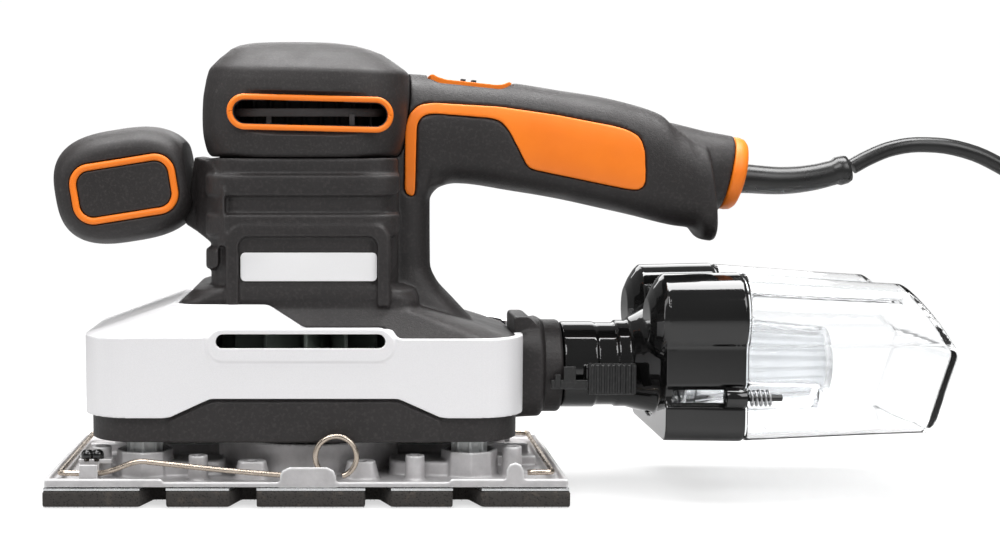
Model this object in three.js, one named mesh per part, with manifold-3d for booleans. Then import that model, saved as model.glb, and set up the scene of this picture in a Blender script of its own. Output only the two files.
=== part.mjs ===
// Third-sheet orbital sander with a front knob, rear bail handle and push-fit dust canister.
// Millimetres, +Z up. +X points to the rear (cord and dust canister), -Y is the operator's left side.
// The origin is where the motor axis meets the surface that the sanding pad stands on.
import * as THREE from "three";
import { mergeVertices } from "three/addons/utils/BufferGeometryUtils.js";
import Module from "manifold-3d";

const wasm = await Module();
wasm.setup();

// ---------------------------------------------------------------- driving dimensions
const GAP = 0.3; // clearance between touching pieces
const SPLIT = 0.15; // half the seam between left and right clamshell halves
const WALL = 2.6; // moulded wall thickness
const ORBIT = 1; // eccentric throw: the pad circles with twice this diameter

const PAD = { length: 187, width: 93, foamTop: 6, backingTop: 7.1 };
const PLATE = { base: 7.4, floor: 8.8, rim: 10.4, rimWidth: 1.6 };
const HUB = { radius: 34, top: 20.5, wall: 2.2 };
const SKIRT = { bottom: 22.4, halfX: 77.2, halfY: 40.5, cornerR: 16.5 };
const COVER = { halfX: 79.5, halfY: 42.6, cornerR: 18, crease: 60, top: 71.5, wall: 1.8 };
const FACET = { frontX: -47, rearX: 44, halfY: 36.3, cornerR: 9 };
const TUBE = { half: 34, corner: 13, cavity: 30.2, bottom: 72, top: 129 };
const CAP = { half: 38.2, bottom: 123.8, crease: 155, top: 166, wall: 2.4, slope: 0.025 };
const BRIDGE = { halfX: 31.2, halfY: 25, top: 150, wall: 3 };
const VENT = { x: 2.4, z: 139.3, length: 58.9, height: 12.6, band: 2.3 };
const SLOT = { x0: -31, x1: 29, halfHeight: 2.7, z: 58.8 };
const MOTOR = { shaftR: 4, coreR: 16, coreZ: [72, 98], statorR: 28 };
const BEARING = { outerR: 11, width: 7 };
const FAN = { radius: 33, bottom: 50.5, top: 60.5, blades: 13 };
const DUCT = { z: 44.6, outerR: 16, innerR: 12.5 };
const CANISTER = { lobeY: 23.6, lobeZ: 66.2, lobeR: 15.8, halfLow: 35.6, bottom: 21, seamX: 159 };
const CORD = { radius: 3, coilX: 336, coilR: 34.5, coilBand: 18, coilHeight: 24 };
const KNOB = { x: -67.2, z: 113, tilt: (9 * Math.PI) / 180, half: 24.7, wall: 3.4 };
const LEVER = { y: -44.6, innerY: -41.6, wireR: 0.9, pivotX: -88, pivotZ: 11.6 };

const CORD_WAY = { z: 116.2, radius: 5.5 };
const SWITCH = { x: 61, z: 150.2, lean: 0.105 };
const GLAND = { x: 160.4, z: 117.3, radius: 13.7, length: 5.6, lean: 0.2 };
const GRIP = { lean: 0.128, pivotZ: 111 };
const OUTLET = { front: 77.6, flange: 88, rear: 95.6 };

// ---------------------------------------------------------------- materials
const plastic = (colour, roughness = 0.6) =>
  new THREE.MeshStandardMaterial({ color: colour, roughness, metalness: 0 });
const metal = (colour, roughness = 0.35) =>
  new THREE.MeshStandardMaterial({ color: colour, roughness, metalness: 1 });
const black = plastic(0x242325, 0.65);
const softBlack = plastic(0x2a292b, 0.8);
const glossBlack = plastic(0x0a0a0a, 0.12);
const orange = plastic(0xf07d1a, 0.55);
const silver = plastic(0xc9c7cb, 0.35);
const nylon = plastic(0xdfe3e4, 0.45);
const fanGrey = plastic(0xa9b8ae, 0.5);
const foam = plastic(0x2b2826, 0.95);
const clear = new THREE.MeshStandardMaterial({
  color: 0xeef2f3,
  roughness: 0.08,
  metalness: 0,
  transparent: true,
  opacity: 0.3,
});
const castAlloy = metal(0xb9bbbd, 0.45);
const steel = metal(0x9a9b9d, 0.3);
const copper = metal(0xb06a3a, 0.4);
const carbon = plastic(0x2d2d2f, 0.7);

// ---------------------------------------------------------------- solids and booleans
function solidOf(geometry) {
  const bare = new THREE.BufferGeometry();
  bare.setAttribute("position", geometry.getAttribute("position").clone());
  if (geometry.index) bare.setIndex(geometry.index.clone());
  const merged = mergeVertices(bare, 1e-4);
  const mesh = new wasm.Mesh({
    numProp: 3,
    vertProperties: new Float32Array(merged.attributes.position.array),
    triVerts: new Uint32Array(merged.index.array),
  });
  return new wasm.Manifold(mesh);
}

function geometryOf(solid) {
  const mesh = solid.getMesh();
  const points = new Float32Array(mesh.numVert * 3);
  for (let i = 0; i < mesh.numVert; i++)
    for (let k = 0; k < 3; k++)
      points[3 * i + k] = mesh.vertProperties[i * mesh.numProp + k];
  const geometry = new THREE.BufferGeometry();
  geometry.setAttribute("position", new THREE.BufferAttribute(points, 3));
  geometry.setIndex(new THREE.BufferAttribute(mesh.triVerts, 1));
  const flat = geometry.toNonIndexed();
  flat.computeVertexNormals();
  return flat;
}

// The same solid turned, moved or mirrored by a matrix.
function moved(solid, matrix) {
  const geometry = geometryOf(solid).applyMatrix4(matrix);
  const p = geometry.getAttribute("position");
  if (matrix.determinant() < 0)
    for (let i = 0; i < p.count; i += 3) {
      const [x, y, z] = [p.getX(i), p.getY(i), p.getZ(i)];
      p.setXYZ(i, p.getX(i + 1), p.getY(i + 1), p.getZ(i + 1));
      p.setXYZ(i + 1, x, y, z);
    }
  return solidOf(geometry);
}
const acrossY = (solid) => moved(solid, new THREE.Matrix4().makeScale(1, -1, 1));
const halfTurn = (solid) => moved(solid, new THREE.Matrix4().makeRotationZ(Math.PI));

const join = (...solids) => solids.reduce((a, b) => a.add(b));
const cut = (body, ...tools) => tools.reduce((a, b) => a.subtract(b), body);

function placed(geometry, { at = [0, 0, 0], turn = [0, 0, 0] } = {}) {
  const spin = new THREE.Matrix4().makeRotationFromEuler(new THREE.Euler(...turn));
  spin.setPosition(...at);
  return solidOf(geometry.clone().applyMatrix4(spin));
}

function block(x0, x1, y0, y1, z0, z1) {
  const box = new THREE.BoxGeometry(x1 - x0, y1 - y0, z1 - z0);
  return placed(box, { at: [(x0 + x1) / 2, (y0 + y1) / 2, (z0 + z1) / 2] });
}

// A cylinder or cone frustum standing on z0, radius r0 there and r1 at z1.
function post(x, y, z0, z1, r0, r1 = r0, sides = 24) {
  const shape = new THREE.CylinderGeometry(r1, r0, z1 - z0, sides);
  return placed(shape, { at: [x, y, (z0 + z1) / 2], turn: [Math.PI / 2, 0, 0] });
}

// A cylinder along X from x0 to x1.
function rod(x0, x1, y, z, r, sides = 24) {
  const shape = new THREE.CylinderGeometry(r, r, x1 - x0, sides);
  return placed(shape, { at: [(x0 + x1) / 2, y, z], turn: [0, 0, Math.PI / 2] });
}

// A cylinder along Y from y0 to y1.
function crossRod(x, y0, y1, z, r, sides = 20) {
  const shape = new THREE.CylinderGeometry(r, r, y1 - y0, sides);
  return placed(shape, { at: [x, (y0 + y1) / 2, z] });
}

// A solid of revolution about the vertical through (x, y); profile is [radius, z] pairs, closed.
function turned(profile, x = 0, y = 0, sides = 32) {
  const points = profile.map(([r, z]) => new THREE.Vector2(r, z));
  const shape = new THREE.LatheGeometry(points, sides);
  const solid = placed(shape, { at: [x, y, 0], turn: [Math.PI / 2, 0, 0] });
  return solid.volume() < 0 ? flipped(shape, x, y) : solid;
}

function flipped(shape, x, y) {
  const copy = shape.clone();
  const order = copy.index.array;
  for (let i = 0; i < order.length; i += 3)
    [order[i + 1], order[i + 2]] = [order[i + 2], order[i + 1]];
  return placed(copy, { at: [x, y, 0], turn: [Math.PI / 2, 0, 0] });
}

// Walls through a stack of rings with the same number of points, capped unless closed on itself.
function loft(rings, loop = false) {
  const n = rings[0].length;
  const points = rings.flat(2);
  const faces = [];
  const last = loop ? rings.length : rings.length - 1;
  for (let i = 0; i < last; i++)
    for (let j = 0; j < n; j++) {
      const a = i * n + j;
      const b = i * n + ((j + 1) % n);
      const c = ((i + 1) % rings.length) * n + ((j + 1) % n);
      const d = ((i + 1) % rings.length) * n + j;
      faces.push(a, b, c, a, c, d);
    }
  if (!loop) {
    const top = (rings.length - 1) * n;
    for (let j = 1; j < n - 1; j++) faces.push(0, j + 1, j, top, top + j, top + j + 1);
  }
  const geometry = new THREE.BufferGeometry();
  geometry.setAttribute("position", new THREE.Float32BufferAttribute(points, 3));
  geometry.setIndex(faces);
  const solid = solidOf(geometry);
  if (solid.volume() > 0) return solid;
  for (let i = 0; i < faces.length; i += 3)
    [faces[i + 1], faces[i + 2]] = [faces[i + 2], faces[i + 1]];
  geometry.setIndex(faces);
  return solidOf(geometry);
}

// A rectangle with round corners as a closed ring of [u, v] points.
function roundRect(u0, u1, v0, v1, r, steps = 5) {
  const ring = [];
  const corners = [
    [u1 - r, v1 - r, 0],
    [u0 + r, v1 - r, 1],
    [u0 + r, v0 + r, 2],
    [u1 - r, v0 + r, 3],
  ];
  for (const [cu, cv, quarter] of corners)
    for (let i = 0; i <= steps; i++) {
      const a = ((quarter + i / steps) * Math.PI) / 2;
      ring.push([cu + r * Math.cos(a), cv + r * Math.sin(a)]);
    }
  return ring;
}

// A superellipse ring: exponent 2 is an ellipse, larger is squarer.
function superRing(cu, cv, hu, hv, exponent, count = 20) {
  const ring = [];
  for (let i = 0; i < count; i++) {
    const a = (2 * Math.PI * i) / count;
    const c = Math.cos(a);
    const s = Math.sin(a);
    const u = hu * Math.sign(c) * Math.abs(c) ** (2 / exponent);
    const v = hv * Math.sign(s) * Math.abs(s) ** (2 / exponent);
    ring.push([cu + u, cv + v]);
  }
  return ring;
}

const level = (ring, z) => ring.map(([x, y]) => [x, y, z]);
const upright = (ring, x) => ring.map(([y, z]) => [x, y, z]);

// A flat outline in the XZ plane, thickened from y0 to y1.
function sidePlate(outline, y0, y1) {
  const shape = new THREE.Shape(outline.map(([x, z]) => new THREE.Vector2(x, z)));
  const slab = new THREE.ExtrudeGeometry(shape, { depth: y1 - y0, bevelEnabled: false });
  return placed(slab, { at: [0, y1, 0], turn: [Math.PI / 2, 0, 0] });
}

// A flat outline in the XY plane, thickened from z0 to z1.
function floorPlate(outline, z0, z1) {
  const shape = new THREE.Shape(outline.map(([x, y]) => new THREE.Vector2(x, y)));
  const slab = new THREE.ExtrudeGeometry(shape, { depth: z1 - z0, bevelEnabled: false });
  return placed(slab, { at: [0, 0, z0] });
}

// A stadium (a slot with round ends) in the XZ plane.
const stadium = (x0, x1, z, half, steps = 5) =>
  roundRect(x0 - half, x1 + half, z - half, z + half, half - 0.01, steps);

// A round bar bent along a smooth line through the points.
function bentBar(points, radius, steps, sides = 8) {
  const line = new THREE.CatmullRomCurve3(
    points.map((p) => new THREE.Vector3(...p)),
    false,
    "centripetal",
  );
  const section = new THREE.Shape();
  for (let i = 0; i < sides; i++) {
    const a = (2 * Math.PI * i) / sides;
    const [u, v] = [radius * Math.cos(a), radius * Math.sin(a)];
    if (i) section.lineTo(u, v);
    else section.moveTo(u, v);
  }
  section.closePath();
  return new THREE.ExtrudeGeometry(section, { steps, extrudePath: line, bevelEnabled: false });
}

// A turn about the Y direction followed by a move in the XZ plane.
const leaning = (angle, x, z) => new THREE.Matrix4().makeRotationY(angle).setPosition(x, 0, z);

// ---------------------------------------------------------------- the scene graph
const sander = new THREE.Group();
const add = (name, solid, material, parent = sander) => {
  const mesh = new THREE.Mesh(geometryOf(solid), material);
  mesh.name = name;
  parent.add(mesh);
  return mesh;
};
// The same piece again on the +Y side.
const addPair = (name, leftSolid, material) => {
  add(name + "_left", leftSolid, material);
  add(name + "_right", leftSolid, material).scale.y = -1;
};
const LEFT_SIDE = block(-120, 220, -90, -SPLIT, 10, 190);

// ---------------------------------------------------------------- motor cap
function capShell(offset) {
  const stations = [
    // height, half width, centre x, share of the rearward slope of the crown
    [CAP.bottom, 34.4, 0, 0],
    [CAP.bottom + 3, 36.5, 0, 0],
    [CAP.bottom + 9, 37.7, 0, 0.3],
    [144, CAP.half, 0.6, 0.6],
    [151, 37.6, 1.2, 1],
    [CAP.crease, 37, 1.6, 1],
    [156.2, 35.6, 1.5, 1],
    [159.3, 31.9, 0.6, 0.8],
    [161.4, 29, 0, 0.5],
    [164.4, 22, -2.8, 0.1],
    [CAP.top, 10, -4.6, 0],
  ];
  const crownDepth = (z) => Math.min(Math.max((z - CAP.crease) / 8, 0), 1);
  const rings = stations.map(([z, half, cx, share]) =>
    superRing(cx, 0, half + offset, half - 0.4 + offset, 3.4, 24).map(([x, y]) => [
      x,
      y,
      z + offset * crownDepth(z) - share * CAP.slope * (x - cx),
    ]),
  );
  rings[0].forEach((p) => (p[2] -= offset));
  return loft(rings);
}

// A stadium around the vent opening, grown or shrunk from the outside of its trim ring.
function ventOutline(grow) {
  const [half, end] = [VENT.height / 2 + grow, VENT.length / 2 - VENT.height / 2];
  return stadium(-end, end, 0, half).map(([x, z]) => [
    VENT.x + x,
    VENT.z + z - CAP.slope * x,
  ]);
}

function topCap() {
  const mouth = superRing(0, 0, 34.4 - CAP.wall, 34 - CAP.wall, 3.4, 28);
  const recess = ventOutline(1.1);
  return cut(
    capShell(0),
    capShell(-CAP.wall),
    loft([level(mouth, CAP.bottom - 1), level(mouth, CAP.bottom + CAP.wall + 1)]),
    sidePlate(ventOutline(-VENT.band - 0.4), -60, 60),
    sidePlate(recess, -60, -CAP.half + 1.9),
    sidePlate(recess, CAP.half - 1.9, 60),
  );
}

function ventRing() {
  const band = sidePlate(ventOutline(0), -37.6, -CAP.half + 1.6);
  return cut(band, sidePlate(ventOutline(-VENT.band), -60, 0));
}

// Louvre bar behind both vents, on two hoops joined by struts.
function airGrille() {
  const outline = (inset) => superRing(0, 0, 34.4 - inset, 34 - inset, 3.4, 24);
  const hoop = (z0, z1, depth) =>
    cut(
      loft([level(outline(0), z0), level(outline(0), z1)]),
      loft([level(outline(depth), z0 - 1), level(outline(depth), z1 + 1)]),
    );
  const struts = [-12.3, 17.2].flatMap((x) =>
    [-1, 1].map((side) => block(x - 0.9, x + 0.9, side * 32.6 - 0.8, side * 32.6 + 0.8, 133, 139)),
  );
  return join(hoop(138.2, 141, 2.6), hoop(132.4, 134, 2), ...struts);
}

// ---------------------------------------------------------------- handle
const HANDLE_STATIONS = [
  // x, top, bottom, half width, share of the backward lean of the grip's end
  [26, 155, 109, 17, 0],
  [40, 154.5, 109, 18.4, 0],
  [46, 154, 110, 18.8, 0],
  [56, 152.9, 113.8, 19, 0],
  [78, 151, 110.8, 19, 0],
  [93.5, 148.6, 108.2, 18.8, 0],
  [110, 146, 104.6, 18.6, 0],
  [124, 142.6, 101.4, 18.6, 0],
  [132.4, 139.4, 99.2, 18.8, 0],
  [137.8, 134.6, 98, 18.9, 0.1],
  [142.9, 132.6, 97, 19, 0.8],
  [146.2, 131.2, 92.8, 19, 1],
  [149.4, 130, 92.2, 19, 1],
  [150.5, 128.7, 93.3, 17.8, 1],
];

const handleRing = ([x, top, bottom, half], offset, squareness) =>
  upright(
    superRing(0, (top + bottom) / 2, half + offset, (top - bottom) / 2 + offset, squareness),
    x,
  );

function handleLoft(offset) {
  const rings = HANDLE_STATIONS.map((station) => {
    const lean = GRIP.lean * station[4];
    return handleRing(station, offset, 2.7).map(([x, y, z]) => [x - lean * (z - GRIP.pivotZ), y, z]);
  });
  return loft(rings);
}

// Hard core that the cord leaves by; its end face leans back like the gland ring on it.
function handleTail() {
  const stations = [
    [128, 138, 102, 14.6],
    [138, 136.2, 101, 14.6],
    [150, 133.2, 101.6, 13.8],
    [GLAND.x - GLAND.length / 2 - GAP, 131.4, 103.6, 12.6],
  ];
  const rings = stations.map((s) => handleRing(s, 0, 2.4));
  rings.at(-1).forEach((p) => (p[0] += Math.tan(GLAND.lean) * (p[2] - GLAND.z)));
  return loft(rings);
}

// Orange side insert: a band up the neck and along the handle that widens into a panel.
const INLAY = [
  [36.7, 110.4],
  [36.7, 134],
  [38.2, 139.5],
  [42, 142.8],
  [47, 143.4],
  [71, 142],
  [92, 139],
  [113.4, 134.9],
  [118.2, 133.5],
  [122.4, 131],
  [124.2, 126],
  [124.6, 113.9],
  [122.6, 111.7],
  [118.2, 112],
  [83.4, 119.2],
  [81.4, 120.4],
  [74.6, 133.4],
  [71.4, 136.9],
  [68, 137.9],
  [47, 139.6],
  [43, 138.8],
  [40.9, 135.6],
  [40.4, 109],
];

// A clockwise outline with every corner pushed outwards.
function grown(outline, by) {
  const n = outline.length;
  return outline.map(([x, z], i) => {
    const [ax, az] = outline[(i + n - 1) % n];
    const [bx, bz] = outline[(i + 1) % n];
    const length = Math.hypot(bx - ax, bz - az);
    return [x - ((bz - az) / length) * by, z + ((bx - ax) / length) * by];
  });
}

// ---------------------------------------------------------------- upper housing
function deckEnvelope() {
  const side = COVER.wall + GAP;
  const ring = (x0, x1, halfY, r, z) => level(roundRect(x0, x1, -halfY, halfY, r, 4), z);
  const [halfX, halfY] = [COVER.halfX - side, COVER.halfY - side];
  return loft([
    ring(-halfX, halfX, halfY, COVER.cornerR - side, 56),
    ring(-halfX, halfX, halfY, COVER.cornerR - side, 58.6),
    ring(FACET.frontX + 2.4, FACET.rearX - 2.4, FACET.halfY - 2.4, 8, COVER.top - 1.8),
    ring(FACET.frontX + 2.6, FACET.rearX - 2.6, FACET.halfY - 2.6, 8, 72.2),
    ring(-40.5, 40, 33.7, 12, 76.4),
  ]);
}

const squareRing = (half, z) => level(roundRect(-half, half, -half, half, TUBE.corner, 4), z);

// A raised rib round the tube that stops in a slanted end behind, short of the handle column.
function tubeRib(proud, z0, z1, rearX) {
  const rib = loft([squareRing(TUBE.half + proud, z0), squareRing(TUBE.half + proud, z1)]);
  const reach = [
    [-60, z0 - 1],
    [rearX - 3, z0 - 1],
    [rearX, z0 + 2],
    [rearX, z1 + 1],
    [-60, z1 + 1],
  ];
  return rib.intersect(sidePlate(reach, -60, 60));
}

// Raised top of the motor housing, which closes the view through the two vents.
function motorBridge(inset, bottom) {
  const ring = superRing(0, 0, BRIDGE.halfX - inset, BRIDGE.halfY - inset, 3, 20);
  return loft([level(ring, bottom), level(ring, BRIDGE.top - inset)]);
}

function motorTube() {
  const collar = (z) => level(superRing(0, 0, 31.2, 30.8, 3.4, 24), z);
  return join(
    loft([squareRing(TUBE.half, TUBE.bottom), squareRing(TUBE.half, 123.4)]),
    loft([collar(123), collar(TUBE.top)]),
    motorBridge(0, TUBE.top - 1),
    tubeRib(1.7, 110, 117.6, 34.5),
    tubeRib(1.7, 95.4, 103.6, 34.5),
    tubeRib(1.7, 83.4, 91, -30.5),
  );
}

// The raised arch on each side that frames the plaque.
const ARCH = { x0: -27.8, x1: 30.9, foot: 73.4, top: 100.4, rib: 4.5, corner: 6 };

function plaqueArch() {
  const outline = (inset, foot) => {
    const [x0, x1, top] = [ARCH.x0 + inset, ARCH.x1 - inset, ARCH.top - inset];
    const head = roundRect(x0, x1, foot, top, ARCH.corner - inset * 0.4, 3).slice(0, 8);
    return [...head, [x0, foot], [x1, foot]];
  };
  const outer = sidePlate(outline(0, ARCH.foot), -TUBE.half - 2, -TUBE.half + 2);
  return cut(outer, sidePlate(outline(ARCH.rib, ARCH.foot - 9), -60, 0));
}

function neckColumn() {
  const ring = (x1, halfY, z) => level(roundRect(16, x1, -halfY, halfY, 9, 3), z);
  return loft([
    ring(67, 27, 58),
    ring(65, 25, 60.4),
    ring(56, 19.5, 70),
    ring(49, 17, 78),
    ring(46.6, 16.2, 84),
    ring(46.4, 16, 108),
    ring(49, 16, 112),
    ring(53, 16, 114.4),
    ring(53, 15.5, 123.4),
  ]);
}

// A gusset that widens from the knob to cover the front ends of the ribs.
function knobBracket() {
  const plate = [
    [-40.3, 124],
    [-34, 122.4],
    [-28, 112],
    [-28, 92.4],
    [-31.6, 91.6],
    [-44.2, 99.2],
  ];
  const wedge = [
    [-46, 13.5],
    [-40, 15.5],
    [-34, 25],
    [-30, 33],
    [-27.5, 36.6],
  ];
  const sides = loft(wedge.map(([x, half]) => upright(roundRect(-half, half, 80, 130, 2, 2), x)));
  const knobPlace = leaning(-KNOB.tilt, KNOB.x, KNOB.z);
  return cut(sidePlate(plate, -40, 40).intersect(sides), moved(knobLoft(GAP), knobPlace));
}

const SCREWS = [
  [60, 119.4],
  [104, 122],
  [127, 108.6],
];

function upperHousing() {
  const outer = join(
    motorTube(),
    plaqueArch(),
    acrossY(plaqueArch()),
    neckColumn(),
    deckEnvelope(),
    knobBracket(),
    cut(handleLoft(0), capShell(GAP)),
    handleTail(),
  );
  const deckHollow = loft([
    level(roundRect(-72.6, 72.6, -37.6, 37.6, 13, 3), 50),
    level(roundRect(-72.6, 72.6, -37.6, 37.6, 13, 3), 57.4),
    level(roundRect(-42, 39, -31, 31, 9, 3), 68),
  ]);
  const bore = post(0, 0, 60, 122.5, TUBE.cavity, TUBE.cavity, 28);
  const neckHollow = block(30, 43, -11, 11, 66, 122);
  const handleHollow = loft(
    HANDLE_STATIONS.slice(1, 9).map((s) => handleRing(s, -4.6, 2.7)),
  );
  const bosses = SCREWS.map(([x, z]) => crossRod(x, -16, 16, z, 4.2, 12));
  const hollows = cut(join(bore, neckHollow, handleHollow, deckHollow), ...bosses);
  const bearingSeat = post(0, 0, 118, 128, BEARING.outerR + GAP, BEARING.outerR + GAP, 18);
  const shaftWay = post(0, 0, 118, 140, 6, 6, 12);
  const bridgeHollow = motorBridge(BRIDGE.wall, TUBE.top);
  const cordWay = rod(132, 170, 0, CORD_WAY.z, CORD_WAY.radius, 12);
  const switchWay = moved(
    join(block(-15.8, 16, -9.2, 9.2, -1.6, 9), block(-10, 10, -6.8, 6.8, -16, 0)),
    leaning(SWITCH.lean, SWITCH.x, SWITCH.z),
  );
  const scoop = [
    [45.4, 158],
    [46.4, 152.6],
    [49, 151.3],
    [72, 148.9],
    [75, 149.8],
    [76.4, 152],
    [76.4, 158],
  ];
  const dustWay = block(60, 90, -11, 11, 46, 57.5);
  const airWay = block(SLOT.x0, SLOT.x1, -60, 60, 50, SLOT.z + 4);
  return cut(
    outer,
    hollows,
    bearingSeat,
    shaftWay,
    bridgeHollow,
    cordWay,
    switchWay,
    sidePlate(scoop, -30, 30),
    dustWay,
    airWay,
  );
}

// ---------------------------------------------------------------- side cover and base
function coverLoft(inset) {
  const { halfX, halfY, cornerR, crease, top } = COVER;
  const ring = (x0, x1, half, r, z) => level(roundRect(x0, x1, -half, half, r, 4), z);
  const wall = (z) =>
    ring(-halfX + inset, halfX - inset, halfY - inset, cornerR - inset, z);
  const facet = (z) =>
    ring(
      FACET.frontX + inset,
      FACET.rearX - inset,
      FACET.halfY - inset,
      FACET.cornerR - inset * 0.5,
      z,
    );
  const rings = [wall(20), wall(crease - inset * 0.5), facet(top - inset * 0.7)];
  if (inset) rings.push(facet(top + 2));
  return loft(rings);
}

const COVER_SIDE = [
  [-90, 31.5],
  [-48, 31.5],
  [-33, 38.4],
  [33.6, 38.4],
  [49, 31.5],
  [90, 31.5],
  [90, 59.8],
  [33.4, 59.8],
  [31.6, 63],
  [0.4, 63.4],
  [-12.8, 71.4],
  [-90, 71.4],
];

function sideCover() {
  const shell = cut(coverLoft(0), coverLoft(COVER.wall));
  const inProfile = shell.intersect(sidePlate(COVER_SIDE, -60, 60));
  const rimPlate = stadium(SLOT.x0 + 2.7, SLOT.x1 - 2.7, SLOT.z - 1.2, 6.1);
  const rim = sidePlate(rimPlate, -COVER.halfY - 0.5, -COVER.halfY + COVER.wall);
  const opening = stadium(
    SLOT.x0 + SLOT.halfHeight,
    SLOT.x1 - SLOT.halfHeight,
    SLOT.z,
    SLOT.halfHeight,
  );
  return cut(
    join(inProfile, rim, acrossY(rim)),
    sidePlate(opening, -60, 60),
    block(70, 90, -21, 21, 20, 80),
  );
}

const LEGS = [
  [-59, -28],
  [-59, 28],
  [59, -28],
  [59, 28],
];

function baseHousing() {
  const { halfX, halfY, cornerR, bottom } = SKIRT;
  const outline = (inset) =>
    roundRect(-halfX + inset, halfX - inset, -halfY + inset, halfY - inset, cornerR - inset, 4);
  const walls = loft([level(outline(0), bottom), level(outline(0), 55.6)]);
  const panel = sidePlate(
    [
      [-48, bottom],
      [-48, 30.4],
      [-32.8, 37.4],
      [33.4, 37.4],
      [49, 30.4],
      [49, bottom],
    ],
    -halfY - 0.9,
    -halfY + 1,
  );
  const upperHollow = cut(
    loft([level(outline(WALL), 47.6), level(outline(WALL), 60)]),
    ...LEGS.map(([x, y]) => post(x, y, 40, 60, 9.6, 9.6, 12)),
  );
  const lowerBowl = post(0, 0, 20, 43.2, 35.6, 35.6, 28);
  const legPockets = LEGS.map(([x, y]) => post(x, y, 20, 40.2, 8.8, 8.8, 12));
  const bearingSeat = post(0, 0, 40, 46.2, BEARING.outerR + GAP, BEARING.outerR + GAP, 24);
  const shaftWay = post(0, 0, 40, 60, 8, 8, 16);
  const dustWay = rod(40, 92, 0, DUCT.z + 3, 8.6, 16);
  const airWay = block(SLOT.x0, SLOT.x1, -60, 60, SLOT.z - 5, 70);
  return cut(
    join(walls, panel, acrossY(panel)),
    upperHollow,
    lowerBowl,
    ...legPockets,
    bearingSeat,
    shaftWay,
    dustWay,
    airWay,
    block(-61, 61, -35, 35, 20, 25.4).intersect(
      loft([level(outline(WALL), 20), level(outline(WALL), 26)]),
    ),
  );
}

// Collar at the rear that the canister plugs into, with its arm up to the deck.
function dustOutlet() {
  const collar = join(
    loft([
      upright(roundRect(-18.5, 18.5, 26.5, 58.6, 9, 4), OUTLET.front),
      upright(roundRect(-18.5, 18.5, 26.5, 62, 11, 4), 82),
      upright(roundRect(-19, 19, 26.4, 63.2, 14, 4), OUTLET.flange),
      upright(roundRect(-17.4, 17.4, 27.4, 62.2, 17, 4), OUTLET.flange + 1),
      upright(roundRect(-17.4, 17.4, 27.4, 62.2, 17, 4), OUTLET.rear),
    ]),
    sidePlate(
      [
        [OUTLET.front, 56],
        [OUTLET.front, 64.6],
        [83.2, 64.6],
        [87.5, 60],
        [87.5, 56],
      ],
      -14,
      14,
    ),
  );
  return cut(
    collar,
    rod(70, 84, 0, DUCT.z + 3, 8.4, 16),
    rod(83.5, 120, 0, DUCT.z, DUCT.outerR - 1.2 + GAP, 28),
  );
}

// ---------------------------------------------------------------- knob
// Stacked across the tool, in the knob's own frame; it is the same on both sides.
function knobLoft(offset) {
  const side = [
    // across, middle, half length, half height
    [-KNOB.half, 1.8, 10, 5],
    [-24.5, 1.6, 18, 12],
    [-24, 1.5, 20.6, 14.9],
    [-22.4, 1.4, 22.6, 16.9],
    [-19.6, 1.3, 24.4, 18.7],
    [-15, 1.1, 25.5, 20],
    [-8, 0.5, 26.4, 20.9],
    [0, 0, 27.1, 21.2],
  ];
  const far = side.slice(0, -1).map(([y, ...rest]) => [-y, ...rest]);
  const rings = [...side, ...far.reverse()].map(([y, middle, length, height]) =>
    superRing(middle, 0, length + offset, height + offset, 2.8, 20).map(([x, z]) => [
      x,
      y * (1 + offset / KNOB.half),
      z,
    ]),
  );
  return loft(rings);
}

const KNOB_RING = { u: 1.8, v: -1.1, length: 38.6, height: 22, corner: 7.5, band: 2.4 };

// The trim ring's outline, filled, and grown or shrunk.
function knobRingPlate(grow, y0, y1) {
  const { u, v, corner } = KNOB_RING;
  const [halfU, halfV] = [KNOB_RING.length / 2 + grow, KNOB_RING.height / 2 + grow];
  return sidePlate(roundRect(u - halfU, u + halfU, v - halfV, v + halfV, corner + grow, 5), y0, y1);
}

function knobBand(grow, y0, y1) {
  const inside = knobRingPlate(-KNOB_RING.band - grow, y0 - 1, y1 + 1);
  return cut(knobRingPlate(grow, y0, y1), inside);
}

function buildKnob() {
  const place = leaning(-KNOB.tilt, KNOB.x, KNOB.z);
  const hollow = cut(knobLoft(-KNOB.wall), rod(-40, 40, 0, 0, 7.6, 14));
  const screwWay = join(rod(-22, 40, 0, 0, 2.6, 12), rod(-22, 16, 0, 0, 5, 12));
  const shell = cut(knobLoft(0), hollow, screwWay, knobBand(GAP, -30, -23.1));
  const leftSide = block(-40, 40, -40, -SPLIT, -40, 40);
  addPair("knob", moved(shell.intersect(leftSide), place), softBlack);
  addPair("knob_ring", moved(knobBand(0, -24.9, -23.4), place), orange);
}

// ---------------------------------------------------------------- motor
function statorCore() {
  const hole = [];
  for (let i = 0; i < 60; i++) {
    const a = (i * 6 * Math.PI) / 180;
    const atPole = Math.abs(Math.sin(a)) > Math.sin((39 * Math.PI) / 180);
    const r = atPole ? MOTOR.coreR + 0.9 : 24.4;
    hole.push([r * Math.cos(a), r * Math.sin(a)]);
  }
  const [z0, z1] = MOTOR.coreZ;
  return cut(post(0, 0, z0, z1, MOTOR.statorR, MOTOR.statorR, 36), floorPlate(hole, z0 - 1, z1 + 1));
}

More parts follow.
